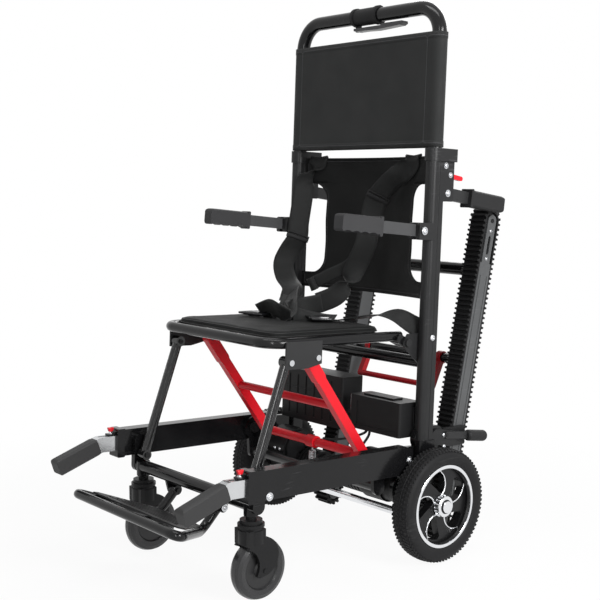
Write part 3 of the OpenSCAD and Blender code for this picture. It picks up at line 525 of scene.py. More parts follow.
class FinishSettings(bpy.types.PropertyGroup):
    satin: tint("Satin black", "Posts, brackets and arm bars", 0.017, 0.0172, 0.0178)
    channel: tint("Track grey", "Side channels of the tracks", 0.068, 0.07, 0.072)
    gloss: tint("Gloss black", "Painted tubes and rails", 0.0055, 0.0055, 0.006)
    moulded: tint("Moulded black", "Plastic housings", 0.0095, 0.0095, 0.01)
    rubber: tint("Rubber", "Tyres, belts and grips", 0.01, 0.01, 0.0105)
    red: tint("Red", "Brace, catches and pins", 0.62, 0.009, 0.018)
    cloth: tint("Cloth", "Sling, panel, cushion and webbing", 0.0095, 0.0098, 0.0098)


class HarnessSettings(bpy.types.PropertyGroup):
    strap: length("Shoulder strap", "Width of the shoulder webbing", 50)
    waist: length("Waist strap", "Width of the waist webbing", 46)
    wall: length("Webbing thickness", "Thickness of all webbing", 1.9)


class SeatSettings(bpy.types.PropertyGroup):
    pressure: FloatProperty(name="Stuffing", description="Pressure that swells the cushion", default=4.0,
                            min=0, max=20)
    swell: length("Swell", "Most that the cushion's skin may move", 4)
    piping: length("Piping", "Radius of the sewn piping", 1.5)


class WheelSettings(bpy.types.PropertyGroup):
    ribs: IntProperty(name="Tread ribs", description="Ribs in each row of the tread", default=78,
                      min=24, max=120)
    ring: length("Bright ring", "Width of the bright ring on the rim", 6)


# Operators


class WHEELCHAIR_OT_studio(bpy.types.Operator):
    """Camera, pale floor, plain surroundings and soft lights"""
    bl_idname = "wheelchair.studio"
    bl_label = "Studio"

    def execute(self, context):
        scene, cfg = context.scene, context.scene.wheelchair_studio
        scene.view_settings.view_transform = "Standard"
        camera = bpy.data.objects.new("Camera", bpy.data.cameras.new("Camera"))
        camera.data.lens = cfg.lens
        camera.data.sensor_width = 36.0
        camera.location = (1.878404, -1.586674, 0.843019)
        camera.rotation_euler = (math.radians(90 - 6.36233), 0, math.radians(49.3561))
        scene.collection.objects.link(camera)
        scene.camera = camera
        lamps = (("Key", (3.1, 0.1, 1.6), (1.4, 1.4), cfg.key),
                 ("Strip", (2.0, -2.2, 1.3), (0.25, 2.2), cfg.strip),
                 ("Top", (0.3, -0.5, 3.0), (2.2, 0.5), cfg.top),
                 ("Back", (-1.4, 2.6, 2.2), (1.3, 1.3), cfg.rim))
        for name, at, size, power in lamps:
            lamp = bpy.data.lights.new(name, "AREA")
            lamp.shape = "RECTANGLE"
            lamp.size, lamp.size_y = size
            lamp.energy = power
            holder = bpy.data.objects.new(name, lamp)
            holder.location = at
            holder.rotation_euler = (Vector((0, 0, 0.55)) - Vector(at)).to_track_quat("-Z", "Y").to_euler()
            scene.collection.objects.link(holder)
        self.surroundings(scene, cfg.ambient)
        self.floor(scene)
        return {"FINISHED"}

    def seen(self, tree):
        """1 for rays that show the background to the camera, in metal or through glass."""
        rays = add_node(tree, "ShaderNodeLightPath")
        both = math_node(tree, "ADD", rays.outputs["Is Camera Ray"], rays.outputs["Is Glossy Ray"])
        total = math_node(tree, "ADD", both, rays.outputs["Is Transmission Ray"])
        return math_node(tree, "MINIMUM", total, 1.0)

    def surroundings(self, scene, ambient):
        world = bpy.data.worlds.new("Plain surroundings")
        world.use_nodes = True
        scene.world = world
        tree = world.node_tree
        back = tree.nodes["Background"]
        back.inputs["Color"].default_value = (1, 1, 1, 1)
        strength = math_node(tree, "MULTIPLY_ADD", self.seen(tree), 1.0 - ambient, ambient)
        tree.links.new(strength, back.inputs["Strength"])

    def floor(self, scene):
        bm = bmesh.new()
        bmesh.ops.create_grid(bm, x_segments=1, y_segments=1, size=6.0)
        bmesh.ops.translate(bm, vec=(0, 0, -0.0006), verts=bm.verts)
        mesh = bpy.data.meshes.new("Floor")
        bm.to_mesh(mesh)
        bm.free()
        mat = bpy.data.materials.new("Pale floor")
        mat.use_nodes = True
        tree = mat.node_tree
        paint = tree.nodes["Principled BSDF"]
        paint.inputs["Base Color"].default_value = (0.86, 0.86, 0.86, 1)
        paint.inputs["Roughness"].default_value = 0.9
        glow = add_node(tree, "ShaderNodeEmission", Strength=1.0)
        where = add_node(tree, "ShaderNodeTexCoord")
        reach = vector_node(tree, "LENGTH", i0=where.outputs["Object"])
        fade = add_node(tree, "ShaderNodeMapRange", Value=reach.outputs["Value"])
        fade.inputs["From Min"].default_value, fade.inputs["From Max"].default_value = 0.6, 1.4
        fade.inputs["To Min"].default_value, fade.inputs["To Max"].default_value = 0.93, 1.0
        share = math_node(tree, "MULTIPLY", self.seen(tree), fade.outputs[0])
        mixed = add_node(tree, "ShaderNodeMixShader", i0=share, i1=paint.outputs[0], i2=glow.outputs[0])
        tree.links.new(mixed.outputs[0], tree.nodes["Material Output"].inputs["Surface"])
        mesh.materials.append(mat)
        floor = bpy.data.objects.new("Floor", mesh)
        scene.collection.objects.link(floor)


class WHEELCHAIR_OT_finishes(bpy.types.Operator):
    """Finishes for the solids and for the new pieces"""
    bl_idname = "wheelchair.finishes"
    bl_label = "Finishes"

    def execute(self, context):
        cfg = context.scene.wheelchair_finish
        build_groups()
        satin, gloss, moulded, rubber = (tuple(cfg.satin), tuple(cfg.gloss), tuple(cfg.moulded),
                                         tuple(cfg.rubber))
        red, cloth, channel = tuple(cfg.red), tuple(cfg.cloth), tuple(cfg.channel)
        steel, chrome = (0.62, 0.63, 0.65), (0.8, 0.81, 0.83)
        grip = {"colour": rubber, "rough": 0.62}
        plain = (
            ("satin_black", satin, 0.36, 0.17, 1500, 20, dict(scuff=0.2)),
            ("track_grey", channel, 0.38, 0.34, 1300, 30, dict(scuff=0.3)),
            ("gloss_black", gloss, 0.16, 0.27, 500, 12, dict(scuff=0.08)),
            ("leg_black", gloss, 0.12, 0.55, 500, 10, {}),
            ("moulded_black", moulded, 0.4, 0.16, 2600, 50, {}),
            ("lever_black", (0.03, 0.03, 0.032), 0.3, 0.4, 1800, 20, {}),
            ("rim_black", gloss, 0.3, 0.26, 900, 20, {}),
            ("tread_rubber", rubber, 0.6, 0.15, 1500, 90,
             dict(drift=0.3, scuff=0.35, scuff_colour=(0.035, 0.035, 0.035))),
            ("belt_rubber", rubber, 0.56, 0.15, 1200, 70, dict(drift=0.3)),
            ("grip_rubber", rubber, 0.55, 0.16, 1800, 90, {}),
            ("lead_rubber", (0.008, 0.008, 0.009), 0.45, 0.3, 1600, 30, {}),
            ("steel", steel, 0.26, 0.5, 2200, 12, dict(metal=1.0, drift=0.1)),
            ("chrome", chrome, 0.12, 0.5, 1200, 6, dict(metal=1.0, drift=0.05)),
            ("spring_steel", (0.45, 0.45, 0.46), 0.3, 0.5, 2200, 10, dict(metal=1.0)),
            ("red_paint", red, 0.36, 0.22, 600, 20,
             dict(drift=0.1, scuff=0.1, scuff_colour=(0.3, 0.01, 0.015))),
            ("red_bar", shade(red, 0.6), 0.36, 0.22, 600, 20, dict(drift=0.1)),
            ("red_knob", red, 0.4, 0.3, 1600, 30, dict(drift=0.1)),
            ("footplate_black", moulded, 0.5, 0.26, 520, 200,
             dict(scuff=0.4, scuff_colour=(0.04, 0.04, 0.04))),
            ("sling_cloth", shade(cloth, 0.75), 0.6, 0.12, 900, 60,
             dict(sheen=0.04, weave=("UV", 1100, 1100), stitch=True)),
            ("panel_cloth", shade(cloth, 1.9), 0.64, 0.12, 900, 70,
             dict(sheen=0.08, weave=("UV", 1000, 1000), stitch=True)),
            ("seat_cloth", shade(cloth, 0.8), 0.6, 0.08, 900, 70,
             dict(sheen=0.02, weave=("Object", 1000, 1000))),
            ("webbing", shade(cloth, 1.3), 0.5, 0.15, 900, 250, dict(sheen=0.04, weave=("UV", 500, 420))),
            ("piping", shade(cloth, 1.2), 0.5, 0.25, 1500, 50, {}),
            ("buckle_black", (0.007, 0.007, 0.008), 0.2, 0.5, 1500, 20, {}),
        )
        for name, colour, rough, spec, grain, depth, more in plain:
            new_finish(name, colour, rough, spec=spec, grain=grain, depth=depth, **more)

        def past(origin, axis):
            """Mask of what lies beyond a plane across the side view."""
            return "Beyond plane", {"Origin": spot(0, *origin), "Axis": heading(*axis)}

        arm, dip, bend = math.radians(3.4), math.radians(6), math.radians(20.7)
        # Painted light: the arm bars and their grips are drawn three and 2.6 times lighter than satin black
        # and rubber, for the key light that falls on their sides.
        new_finish("armrest", shade(satin, 3.0), 0.4, spec=0.26, grain=1700, depth=60,
                   zone=past((-41 - 120 * math.cos(arm), ARM_Z + 120 * math.sin(arm)),
                             (-math.cos(arm), math.sin(arm))),
                   other={"colour": shade(rubber, 2.6), "rough": 0.6})
        new_finish("rear_handle", satin, 0.4, spec=0.26, grain=1700, depth=60, other=grip,
                   zone=past((36 + 76 * math.cos(dip), 682 - 76 * math.sin(dip)),
                             (math.cos(dip), -math.sin(dip))))
        new_finish("carry_handle", (0.6, 0.61, 0.62), 0.24, metal=1.0, grain=1700, depth=40, other=grip,
                   zone=past((-548 - 7.8 * math.cos(bend), 100.5 - 7.8 * math.sin(bend)),
                             (-math.cos(bend), -math.sin(bend))))
        new_finish("lock_pin", steel, 0.26, metal=1.0, grain=1500, depth=20, zone=past((-520, 126.1), (0, 1)),
                   other={"colour": red, "rough": 0.35})
        new_finish("crawler_lever", satin, 0.4, spec=0.26, grain=1500, depth=50, other=grip,
                   zone=past((136, 132), (1, -0.12)))
        new_finish("base_tubes", chrome, 0.14, metal=1.0, grain=1200, depth=10, zone=past((-90, 0), (-1, 0)),
                   other={"colour": gloss, "rough": 0.3})
        new_finish("seat_brackets", satin, 0.4, spec=0.26, grain=1500, depth=20,
                   zone=("Outboard", {"Reach": 0.2073}),
                   other={"colour": steel, "rough": 0.26, "metal": 1.0})
        new_finish("caster_wheel", (0.02, 0.02, 0.021), 0.24, spec=0.42, grain=900, depth=30,
                   zone=("Inside round", {"Centre": CASTER_HUB * MM, "Radius": 0.0405}),
                   other={"colour": moulded, "rough": 0.42})
        self.dress()
        return {"FINISHED"}

    def dress(self):
        """Puts a finish on every solid; a name that ends in an underscore is a left and right pair."""
        worn = {
            "satin_black": "posts post_heads arm_brackets seat_gussets crawler_arms pivot_pins",
            "track_grey": "track_channels",
            "gloss_black": "foot_frames back_cross_tube track_tubes rails front_cross seat_frame push_handle "
                           "footrest_frame",
            "leg_black": "front_legs",
            "lever_black": "release_lever",
            "moulded_black": "drive_units control_case battery_case caster_fork_ pulley_low_ pulley_top_",
            "rim_black": "rim_",
            "tread_rubber": "tyre_",
            "belt_rubber": "track_belts",
            "grip_rubber": "handle_sleeve",
            "lead_rubber": "motor_leads",
            "chrome": "axle_stubs",
            "steel": "battery_latch",
            "spring_steel": "brace_spring",
            "red_paint": "brace_frame",
            "red_bar": "release_bar",
            "red_knob": "catch_",
            "footplate_black": "footplate",
            "sling_cloth": "back_sling",
            "panel_cloth": "head_panel",
            "seat_cloth": "seat_cushion",
            "webbing": "shoulder_straps waist_strap belt_pile",
            "armrest": "armrest_",
            "rear_handle": "rear_handle_",
            "carry_handle": "carry_handle_",
            "lock_pin": "lock_pin_",
            "crawler_lever": "crawler_lever",
            "base_tubes": "base_tubes",
            "seat_brackets": "seat_brackets",
            "caster_wheel": "caster_wheel_",
        }
        for finish, names in worn.items():
            for name in names.split():
                for node in [name + side for side, _ in SIDES] if name.endswith("_") else [name]:
                    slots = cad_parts[node].data.materials
                    slots.clear()
                    slots.append(FINISH[finish])


class WHEELCHAIR_OT_leads(bpy.types.Operator):
    """Two motor leads that hang from the battery case to the motors"""
    bl_idname = "wheelchair.leads"
    bl_label = "Motor leads"

    def execute(self, context):
        routes = {
            "motor_lead_left": [(90, -30, 138.1), (90, -34, 122), (84, -46, 100), (80, -50, 78),
                                (80, -46, 62.6)],
            "motor_lead_right": [(70, -20, 138.1), (66, -24, 124), (20, -40, 104), (-50, -48, 90),
                                 (-80, -47, 76), (-80, -46, 62.6)],
        }
        for name, points in routes.items():
            run = [CHASSIS @ p for p in spline(points, 6)]
            curve = round_curve(name, run, 3 * MM, 4)
            curve.materials.append(FINISH["lead_rubber"])
            lead = bpy.data.objects.new(name, curve)
            context.scene.collection.objects.link(lead)
            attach(lead, "back_frame")
            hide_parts("motor_leads")
            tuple(run[0])
            run_length(run)
        return {"FINISHED"}


class WHEELCHAIR_OT_sling(bpy.types.Operator):
    """Back sling: one stretched sheet, waisted at both sides, with a sewn hem"""
    bl_idname = "wheelchair.sling"
    bl_label = "Back sling"

    def execute(self, context):
        z0, z1 = POST_TOP - SLING_DROP, POST_TOP + SLING_RISE
        big = SLING_HALF ** 2 / (2 * SLING_SAG) + SLING_SAG / 2
        low, high, flare = z0 + 76, z1 - 101, 40.0
        turns = [flare * math.sin(math.radians(a)) for a in range(0, 90, 9)] + [flare - 0.6, flare - 0.4]
        stops = [low - t for t in turns] + [high + t for t in turns]
        columns = sorted({0, 0.028, 0.034, 0.966, 0.972, 1} | {i / 44 for i in range(45)})
        rows = sorted({0, 0.044, 0.05, 0.95, 0.956, 1} | {i / 24 for i in range(25)}
                      | {(z - z0) / (z1 - z0) for z in stops})

        def half(z):
            rise = max(low - z, z - high, 0.0)
            if rise < flare - 0.5:
                return SLING_HALF - 24 - math.sqrt(flare ** 2 - rise ** 2)
            return 205.6 if z > POST_TOP - 1 else SLING_HALF

        def place(u, v):
            z = z0 + v * (z1 - z0)
            x = (2 * u - 1) * half(z)
            y = 40 - big + math.sqrt((big - 1.2) ** 2 - x * x)
            pull = (abs(2 * u - 1) ** 3) * math.sin(v * 19.0 + abs(x) * 0.05) * 1.1
            hem = 0.9 if u < 0.031 or u > 0.969 or v < 0.047 or v > 0.953 else 0.0
            return Vector((x, y + pull - hem - 0.3, z))

        flat = (SLING_FLAT * MM, (z1 - z0) * MM)
        bm = cloth_grid(columns, rows, place, flat)
        mark_edges(bm, flat)
        area = sum(f.calc_area() for f in bm.faces) * MM * MM
        sling = make_piece("sling_cloth", bm, "sling_cloth", "back_frame", sharp=60,
                           stands_for=("back_sling",), uv_safe=True)
        thicken(sling, 1.6 * MM)
        return {"FINISHED"}


def mark_edges(bm, flat, seams=()):
    """Stores each point's distance from the cut's edge or a seam and its run along it, for the stitching."""
    uv = bm.loops.layers.uv.active
    edge = bm.verts.layers.float.new("edge")
    run = bm.verts.layers.float.new("run")
    for face in bm.faces:
        for loop in face.loops:
            u, v = loop[uv].uv
            gaps = [v, flat[1] - v] + ([abs(u - at) + 0.008 for at in seams] or [u, flat[0] - u])
            loop.vert[edge] = min(gaps)
            loop.vert[run] = v if gaps.index(min(gaps)) > 1 else u


class WHEELCHAIR_OT_head_panel(bpy.types.Operator):
    """Head panel: a cloth sleeve stretched round both legs of the push handle"""
    bl_idname = "wheelchair.head_panel"
    bl_label = "Head panel"

    def execute(self, context):
        z0, z1 = COLLAR_TOP + 2, HANDLE_TOP - 73
        r = HANDLE_R + 1.5
        straight, arc = 2 * POST_X, math.pi * r
        loop = 2 * straight + 2 * arc
        count = 132
        columns = [i / count for i in range(count + 1)]
        rows = sorted({0, 0.052, 0.058, 0.942, 0.948, 1} | {i / 18 for i in range(19)})

        def place(u, v):
            s = (u * loop + 1.5 * straight + arc) % loop
            hem = 0.8 if v < 0.055 or v > 0.945 else 0.0
            g = r + hem
            slack = 2.2 * math.sin(math.pi * v)
            if s < straight:
                x = s - POST_X
                p = (x, -g + slack * (1 - (x / POST_X) ** 2))
            elif s < straight + arc:
                a = (s - straight) / r - math.pi / 2
                p = (POST_X + g * math.cos(a), g * math.sin(a))
            elif s < 2 * straight + arc:
                x = POST_X - (s - straight - arc)
                p = (x, g - slack * (1 - (x / POST_X) ** 2))
            else:
                a = (s - 2 * straight - arc) / r + math.pi / 2
                p = (-POST_X + g * math.cos(a), g * math.sin(a))
            return Vector((p[0], p[1], z0 + v * (z1 - z0)))

        flat = (loop * MM, (z1 - z0) * MM)
        bm = cloth_grid(columns, rows, place, flat)
        ends = (straight / 2 + arc + 21, straight * 1.5 + arc - 21)
        mark_edges(bm, flat, [round(e / loop * count) / count * flat[0] for e in ends])
        bmesh.ops.remove_doubles(bm, verts=bm.verts, dist=0.01)
        panel = make_piece("head_panel_cloth", bm, "panel_cloth", "push_handle", sharp=60,
                           stands_for=("head_panel",))
        thicken(panel, 1.4 * MM)
        return {"FINISHED"}


class WHEELCHAIR_OT_seat_pad(bpy.types.Operator):
    """Seat cushion swelled by cloth simulation, with piping round its edge"""
    bl_idname = "wheelchair.seat_pad"
    bl_label = "Seat cushion"

    def execute(self, context):
        cfg = context.scene.wheelchair_seat
        bm = bmesh.new()
        bm.from_mesh(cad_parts["seat_cushion"].data)
        bmesh.ops.remove_doubles(bm, verts=bm.verts, dist=0.00005)
        bm.transform(CHASSIS.inverted())
        for v in bm.verts:
            v.co.z = CUSHION_LOW + (v.co.z - CUSHION_LOW) * CUSHION_SHARE
        pad = make_piece("seat_pad", bm, "seat_cloth", "seat", sharp=70,
                         stands_for=("seat_cushion",))
        remesh = pad.modifiers.new("Even skin", "REMESH")
        remesh.mode = "VOXEL"
        remesh.voxel_size = 4 * MM
        bake_modifiers(pad)
        self.swell(context, pad, cfg)
        pad.data.shade_smooth()
        soft = pad.modifiers.new("Smooth", "SUBSURF")
        soft.levels = soft.render_levels = 1
        self.piping(cfg, pad)
        return {"FINISHED"}

    def swell(self, context, pad, cfg):
        start = [v.co.copy() for v in pad.data.vertices]
        cloth = pad.modifiers.new("Stuffing", "CLOTH")
        cloth.settings.use_pressure = True
        cloth.settings.uniform_pressure_force = cfg.pressure
        cloth.settings.effector_weights.gravity = 0.0
        cloth.settings.quality = 5
        for number in range(1, 21):
            context.scene.frame_set(number)
        bake_modifiers(pad)
        context.scene.frame_set(1)
        top, low = spot(0, 0, CUSHION_LOW + CUSHION_T), spot(0, 0, CUSHION_LOW)
        up = heading(0, 1)
        for v, at in zip(pad.data.vertices, start):
            move = v.co - at
            if move.length > cfg.swell:
                move *= cfg.swell / move.length
            v.co = at + move
            over, under = (v.co - top).dot(up), (low - v.co).dot(up)
            v.co += up * (max(under, 0.0) - max(over, 0.0))

    def piping(self, cfg, pad):
        """Sewn piping on the skin, found by cutting the cushion level."""
        bm, back = bmesh.new(), CHASSIS.inverted()
        for share in (0.3, 0.74):
            cut = bmesh.new()
            cut.from_mesh(pad.data)
            found = bmesh.ops.bisect_plane(cut, geom=cut.verts[:] + cut.edges[:] + cut.faces[:], dist=1e-7,
                                           plane_co=spot(0, 0, CUSHION_LOW + CUSHION_T * share),
                                           plane_no=heading(0, 1))
            ring = [back @ v.co for v in found["geom_cut"] if isinstance(v, bmesh.types.BMVert)]
            cut.free()
            middle = sum(ring, Vector()) / len(ring)
            ring.sort(key=lambda p: math.atan2(p.y - middle.y, p.x - middle.x))
            for _ in range(6):
                ring = [(ring[i - 1] + 2 * ring[i] + ring[(i + 1) % len(ring)]) / 4 for i in range(len(ring))]
            lay(bm, tube(ring, cfg.piping / MM, cyclic=True, resolution=3))
        make_piece("seat_piping", bm, "piping", "seat", sharp=80)


class WHEELCHAIR_OT_harness(bpy.types.Operator):
    """Shoulder and waist webbing with its sliders and side-release buckles"""
    bl_idname = "wheelchair.harness"
    bl_label = "Harness"

    def execute(self, context):
        cfg = context.scene.wheelchair_harness
        strap, waist = cfg.strap / MM, cfg.waist / MM
        near = spline([(140, 27.6, 736), (140, 28, 757), (140, 24.4, 766), (140, 19, 757), (136, 17.5, 742),
                       (112, 10, 722), (82, 4.3, 700), (50, -1, 660), (38, -6, 605), (34, -14, 556),
                       (16, -24, 508), (6, -40, 468), (-10, -62, 438), (-36, -90, 420)], 6)
        far = spline([(-172, 20.8, 736), (-172, 21.2, 757), (-172, 18, 766), (-172, 14, 757), (-175, 11, 742),
                      (-186, 2, 722), (-193, -9, 700), (-192, -16, 659), (-187, -29, 604), (-185, -34, 567),
                      (-202, -44, 534), (-206, -58, 502), (-176, -74, 470), (-132, -90, 449),
                      (-112, -110, 431), (-96, -128, 420)], 6)
        near_turn = self.turn(len(near) - 1, (1, -0.19, 0), (0.72, 0.69, 0.1), (-0.1, -0.4, 0.7))
        far_turn = self.turn(len(far) - 1, (1, 0.24, 0), (0.65, 0.76, 0), (0.65, 0.76, 0))
        bm = webbing(near, near_turn, strap)
        lay(bm, webbing(far, far_turn, strap, twist=((0.25, 0), (0.33, 120), (0.42, 180)),
                        gather=((0.31, 0.045, 0.6),)))
        lay(bm, webbing(self.tail(), (-0.28, -0.33, 0.87), strap * 0.6))
        straps = self.cloth_piece("shoulder_webbing", bm, cfg, ("shoulder_straps",), "back_frame")
        bm = webbing(spline([(208.1, 4, 376), (202, -20, 390), (182, -50, 408), (152, -84, 409),
                             (112, -112, 399), (78, -132, 392), (52, -142, 390.5)], 6),
                     lambda t: (0.05, 0.9, 0.8 * max(0.0, 1 - t * 2)), waist)
        self.cloth_piece("waist_webbing", bm, cfg, ("waist_strap",), "seat")
        self.pile(cfg, strap)
        sliders = self.sliders((near, near_turn, 668), (far, far_turn, 569))
        for piece in (straps, sliders):
            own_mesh(piece)
        return {"FINISHED"}

    def turn(self, count, start, middle, end):
        """Direction across a strap: along the sling, then towards the front, then as it reaches the seat."""
        def across(t):
            i = t * count - SLING_STEPS
            hung = Vector(start).lerp(Vector(middle), min(1.0, max(0.0, i / 18)))
            return hung.lerp(Vector(end), min(1.0, max(0.0, (i - 40) / 14)))
        return across

    def tail(self):
        """Loose end of the near strap, with its tip rolled up."""
        end = Vector((-76, -76, 462))
        run = spline([(24, -7, 552), (-4, -26, 510), (-43, -53, 484), end], 8)
        along, face = Vector((-0.74, -0.51, -0.43)), Vector((0.76, -0.65, 0))
        for k in range(1, 13):
            a = math.radians(27 * k)
            run.append(end + 9 * (math.sin(a) * along + (1 - math.cos(a)) * face))
        return run

    def cloth_piece(self, name, bm, cfg, nodes, body):
        piece = make_piece(name, bm, "webbing", body, sharp=70, stands_for=nodes, uv_safe=True)
        thicken(piece, cfg.wall)
        bake_modifiers(piece)
        return piece

    def pile(self, cfg, strap):
        """Webbing folded on the cushion, with two buckles."""
        z = CUSHION_LOW + CUSHION_T
        folds = (
            ([(-118, -104, z + 52), (-92, -130, z + 44), (-58, -160, z + 34), (-22, -190, z + 22),
              (6, -214, z + 9), (16, -226, z + 3)], (0.5, 0.55, 0.67)),
            ([(-104, -112, z + 42), (-80, -140, z + 30), (-56, -170, z + 18), (-40, -198, z + 8),
              (-44, -220, z + 4)], (0.75, 0.6, -0.25)),
            ([(18, -220, z + 8), (-8, -227, z + 19), (-36, -224, z + 25), (-64, -219, z + 20),
              (-86, -222, z + 11)], (0.1, -0.45, 0.89)),
            ([(-30, -84, z + 33), (-48, -110, z + 26), (-52, -140, z + 22), (-40, -170, z + 20),
              (-18, -196, z + 20)], (-0.1, -0.4, 0.7)),
            ([(70, -136, z + 5), (40, -152, z + 4), (10, -172, z + 6), (-8, -190, z + 9)], (0.35, 0.8, 0.3)),
        )
        bm = bmesh.new()
        for points, across in folds:
            lay(bm, webbing(spline(points, 7), across, strap * 0.9))
        self.cloth_piece("belt_pile_webbing", bm, cfg, ("belt_pile",), "seat")
        bm = bmesh.new()
        for at, turn in (((-94, -232, z + 9), 100), ((46, -164, z + 9), 62)):
            where = Matrix.Translation(at) @ Matrix.Rotation(math.radians(turn), 4, "Z")
            for form, place in self.buckle():
                lay(bm, form, where @ Matrix.Translation(place))
        buckles = make_piece("belt_buckles", bm, "buckle_black", "seat")
        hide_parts("belt_pile")

    def buckle(self):
        """Side-release buckle: shell, two release tabs, plug and webbing bars."""
        shell = cube((42, 30, 11))
        top = [f for f in shell.faces if f.normal.z > 0.9]
        bmesh.ops.inset_region(shell, faces=top, thickness=5.0, depth=-1.6)
        parts = [(soften(shell, 1.6, 2), (0, -12, 0))]
        for s in (-1, 1):
            parts += [(block((6, 17, 7.5), 2.2), (20.5 * s, -8, 0)),
                      (block((4.5, 20, 5), 1.4), (20 * s, 21, 0)),
                      (block((4.5, 16, 5), 1.4), (20 * s, -32, 0))]
        parts.append((block((44, 12, 8), 2.2), (0, 10, 0)))
        return parts + [(block((44, 4.2, 5), 1.6), (0, y, 0)) for y in (21, 30, -38)]

    def sliders(self, *straps):
        """A bar slider at a height on each strap, with its webbing bar and two end pins."""
        bm = bmesh.new()
        for run, across, height in straps:
            i = min(range(SLING_STEPS, len(run)), key=lambda k: abs(run[k].z - height))
            along = (run[i + 1] - run[i - 1]).normalized()
            side = across(i / (len(run) - 1))
            side = (side - along * side.dot(along)).normalized()
            face = side.cross(along)
            face = face if face.y < 0 else -face
            turn = Matrix((face.cross(side), side, face)).transposed().to_4x4()
            where = Matrix.Translation(run[i] + face * 2.6) @ turn
            for x, wide, high in ((0, 9, 4.4), (9, 3.2, 2.8)):
                lay(bm, block((wide, 55, high), 1.3), where @ Matrix.Translation((x, 0, 0)))
            for y in (-26, 26):
                lay(bm, block((16, 3.6, 3.4), 1.3), where @ Matrix.Translation((3, y, 0)))
        return make_piece("strap_sliders", bm, "moulded_black", "back_frame")


class WHEELCHAIR_OT_tyres(bpy.types.Operator):
    """Rear tyres with rows of slanted tread ribs and a raised middle line"""
    bl_idname = "wheelchair.tyres"
    bl_label = "Rear tyres"

    def execute(self, context):
        cfg = context.scene.wheelchair_wheel
        half = [(RIM_R, 19), (RIM_R + 1.5, 20.6), (RIM_R + 8, 23.2), (RIM_R + 14, 24.6), (RIM_R + 21, 24.8),
                (RIM_R + 27, 23.4), (RIM_R + 31, 20.2), (RIM_R + 33.4, 15), (RIM_R + 34.5, 8),
                (RIM_R + 34.8, 1.4), (RIM_R + 36.2, 0.8)]
        profile = half + [(RIM_R + 36.4, 0)] + [(r, -h) for r, h in reversed(half)]
        rows = ((34.4, 5.2, 0.04, 6.4, 0.4), (33.3, 12.6, 0.2, 6.4, -0.4), (30.0, 18.7, 0.72, 8.0, 0.2))
        for name, s in SIDES:
            bm = turned(profile, steps=120, closed=True)
            for k in (-1, 1):
                for n, (rise, wide, tip, length, slant) in enumerate(rows):
                    rib = block((3.0, 5.8, length), 0.8, 1)
                    rib.transform(Matrix.Translation((RIM_R + rise, 0, wide * k))
                                  @ Matrix.Rotation(tip * k, 4, "Y") @ Matrix.Rotation(slant * k, 4, "X"))
                    rib.transform(Matrix.Rotation(0.03 * n, 4, "Z"))
                    lay(bm, ring_of(rib, cfg.ribs))
            where = ROW @ Matrix.Translation((WHEEL_X * s, AXLE_Y, WHEEL_R)) @ SIDEWAYS
            make_piece("tyre_tread_" + name, bm, "tread_rubber", "rear_wheel_" + name, where=where,
                       stands_for=("tyre_" + name,))
        return {"FINISHED"}


class WHEELCHAIR_OT_rim_trim(bpy.types.Operator):
    """Bright rim ring, spoke edging, barred hub and axle cap rings"""
    bl_idname = "wheelchair.rim_trim"
    bl_label = "Rim trim"

    def execute(self, context):
        ring = RIM_R - context.scene.wheelchair_wheel.ring / MM
        spokes, bars = 5, 16
        spoke = [(20, 8), (25, 2), (34, -11), (48, -15), (64, -13), (77, -7), (84, -3)]
        for name, s in SIDES:
            bm = turned([(ring, 19.4), (ring + 0.5, 21.6), (ring + 2.4, 22.8), (RIM_R - 0.4, 22.6),
                         (RIM_R + 1.4, 21.6), (RIM_R + 0.6, 19.6)], steps=96, closed=True)
            for k in range(spokes):
                edge = []
                for r, a in spoke:
                    angle = math.radians(a + r * 0.35 + 360 / spokes * k + 18)
                    edge.append(Vector((r * math.cos(angle), r * math.sin(angle), 9.4 if r < 24 else 8.4)))
                lay(bm, tube(spline(edge, 5), 2.5, resolution=3, tip=0.4))
            lay(bm, turned([(15.2, 20.5), (15.2, 24.4), (16.2, 25), (21, 24.6), (22.8, 23), (22.8, 20.5)],
                           steps=48, closed=True))
            for k in range(bars):
                bar = turned([(0, -5), (2.1, -5), (2.1, 5), (0, 5)], steps=8)
                lay(bm, bar, Matrix.Rotation(math.tau * k / bars, 4, "Z")
                    @ Matrix.Translation((21.3, 0, 15.8)))
            lay(bm, turned([(19.2, 9.4), (24.4, 9.4), (24.4, 11.4), (19.2, 11.4)], steps=48, closed=True))
            where = (ROW @ Matrix.Scale(s, 4, (1, 0, 0)) @ Matrix.Translation((WHEEL_X, AXLE_Y, WHEEL_R))
                     @ SIDEWAYS)
            make_piece("rim_trim_" + name, bm, "chrome", "rear_wheel_" + name, where=where)
        bm = bmesh.new()
        for s in (1, -1):
            where = Matrix.Scale(s, 4, (1, 0, 0)) @ Matrix.Translation((WHEEL_X + 25, 0, 0)) @ SIDEWAYS
            lay(bm, turned([(10.0, -3), (10.0, 0.9), (10.8, 1.5), (14.2, 1.5), (15.0, 0.9), (15.0, -3)],
                           steps=40, closed=True), where)
        make_piece("axle_cap_rings", bm, "moulded_black", "back_frame")
        return {"FINISHED"}


class WHEELCHAIR_OT_footrest(bpy.types.Operator):
    """Footrest tube bent in one run, with its two pivot eyes"""
    bl_idname = "wheelchair.footrest"
    bl_label = "Footrest tube"

    def execute(self, context):
        left = [(79, -449, 19), (79.6, -494, -29), (201.4, -632, 13.3)]
        bend = rounded(left + [(-x, y, z) for x, y, z in reversed(left)], (38, 17, 17, 38), 10)
        bm = tube(bend, 10.0, resolution=6)
        for s in (1, -1):
            eye = turned([(5.2, -9.8), (10.2, -9.8), (11, -9), (11, 9), (10.2, 9.8), (5.2, 9.8)], steps=36,
                         closed=True)
            lay(bm, eye, Matrix.Translation((79.8 * s, -449, 19)) @ SIDEWAYS)
        make_piece("footrest_tube", bm, "gloss_black", "footrest",
                   stands_for=("footrest_frame",))
        return {"FINISHED"}


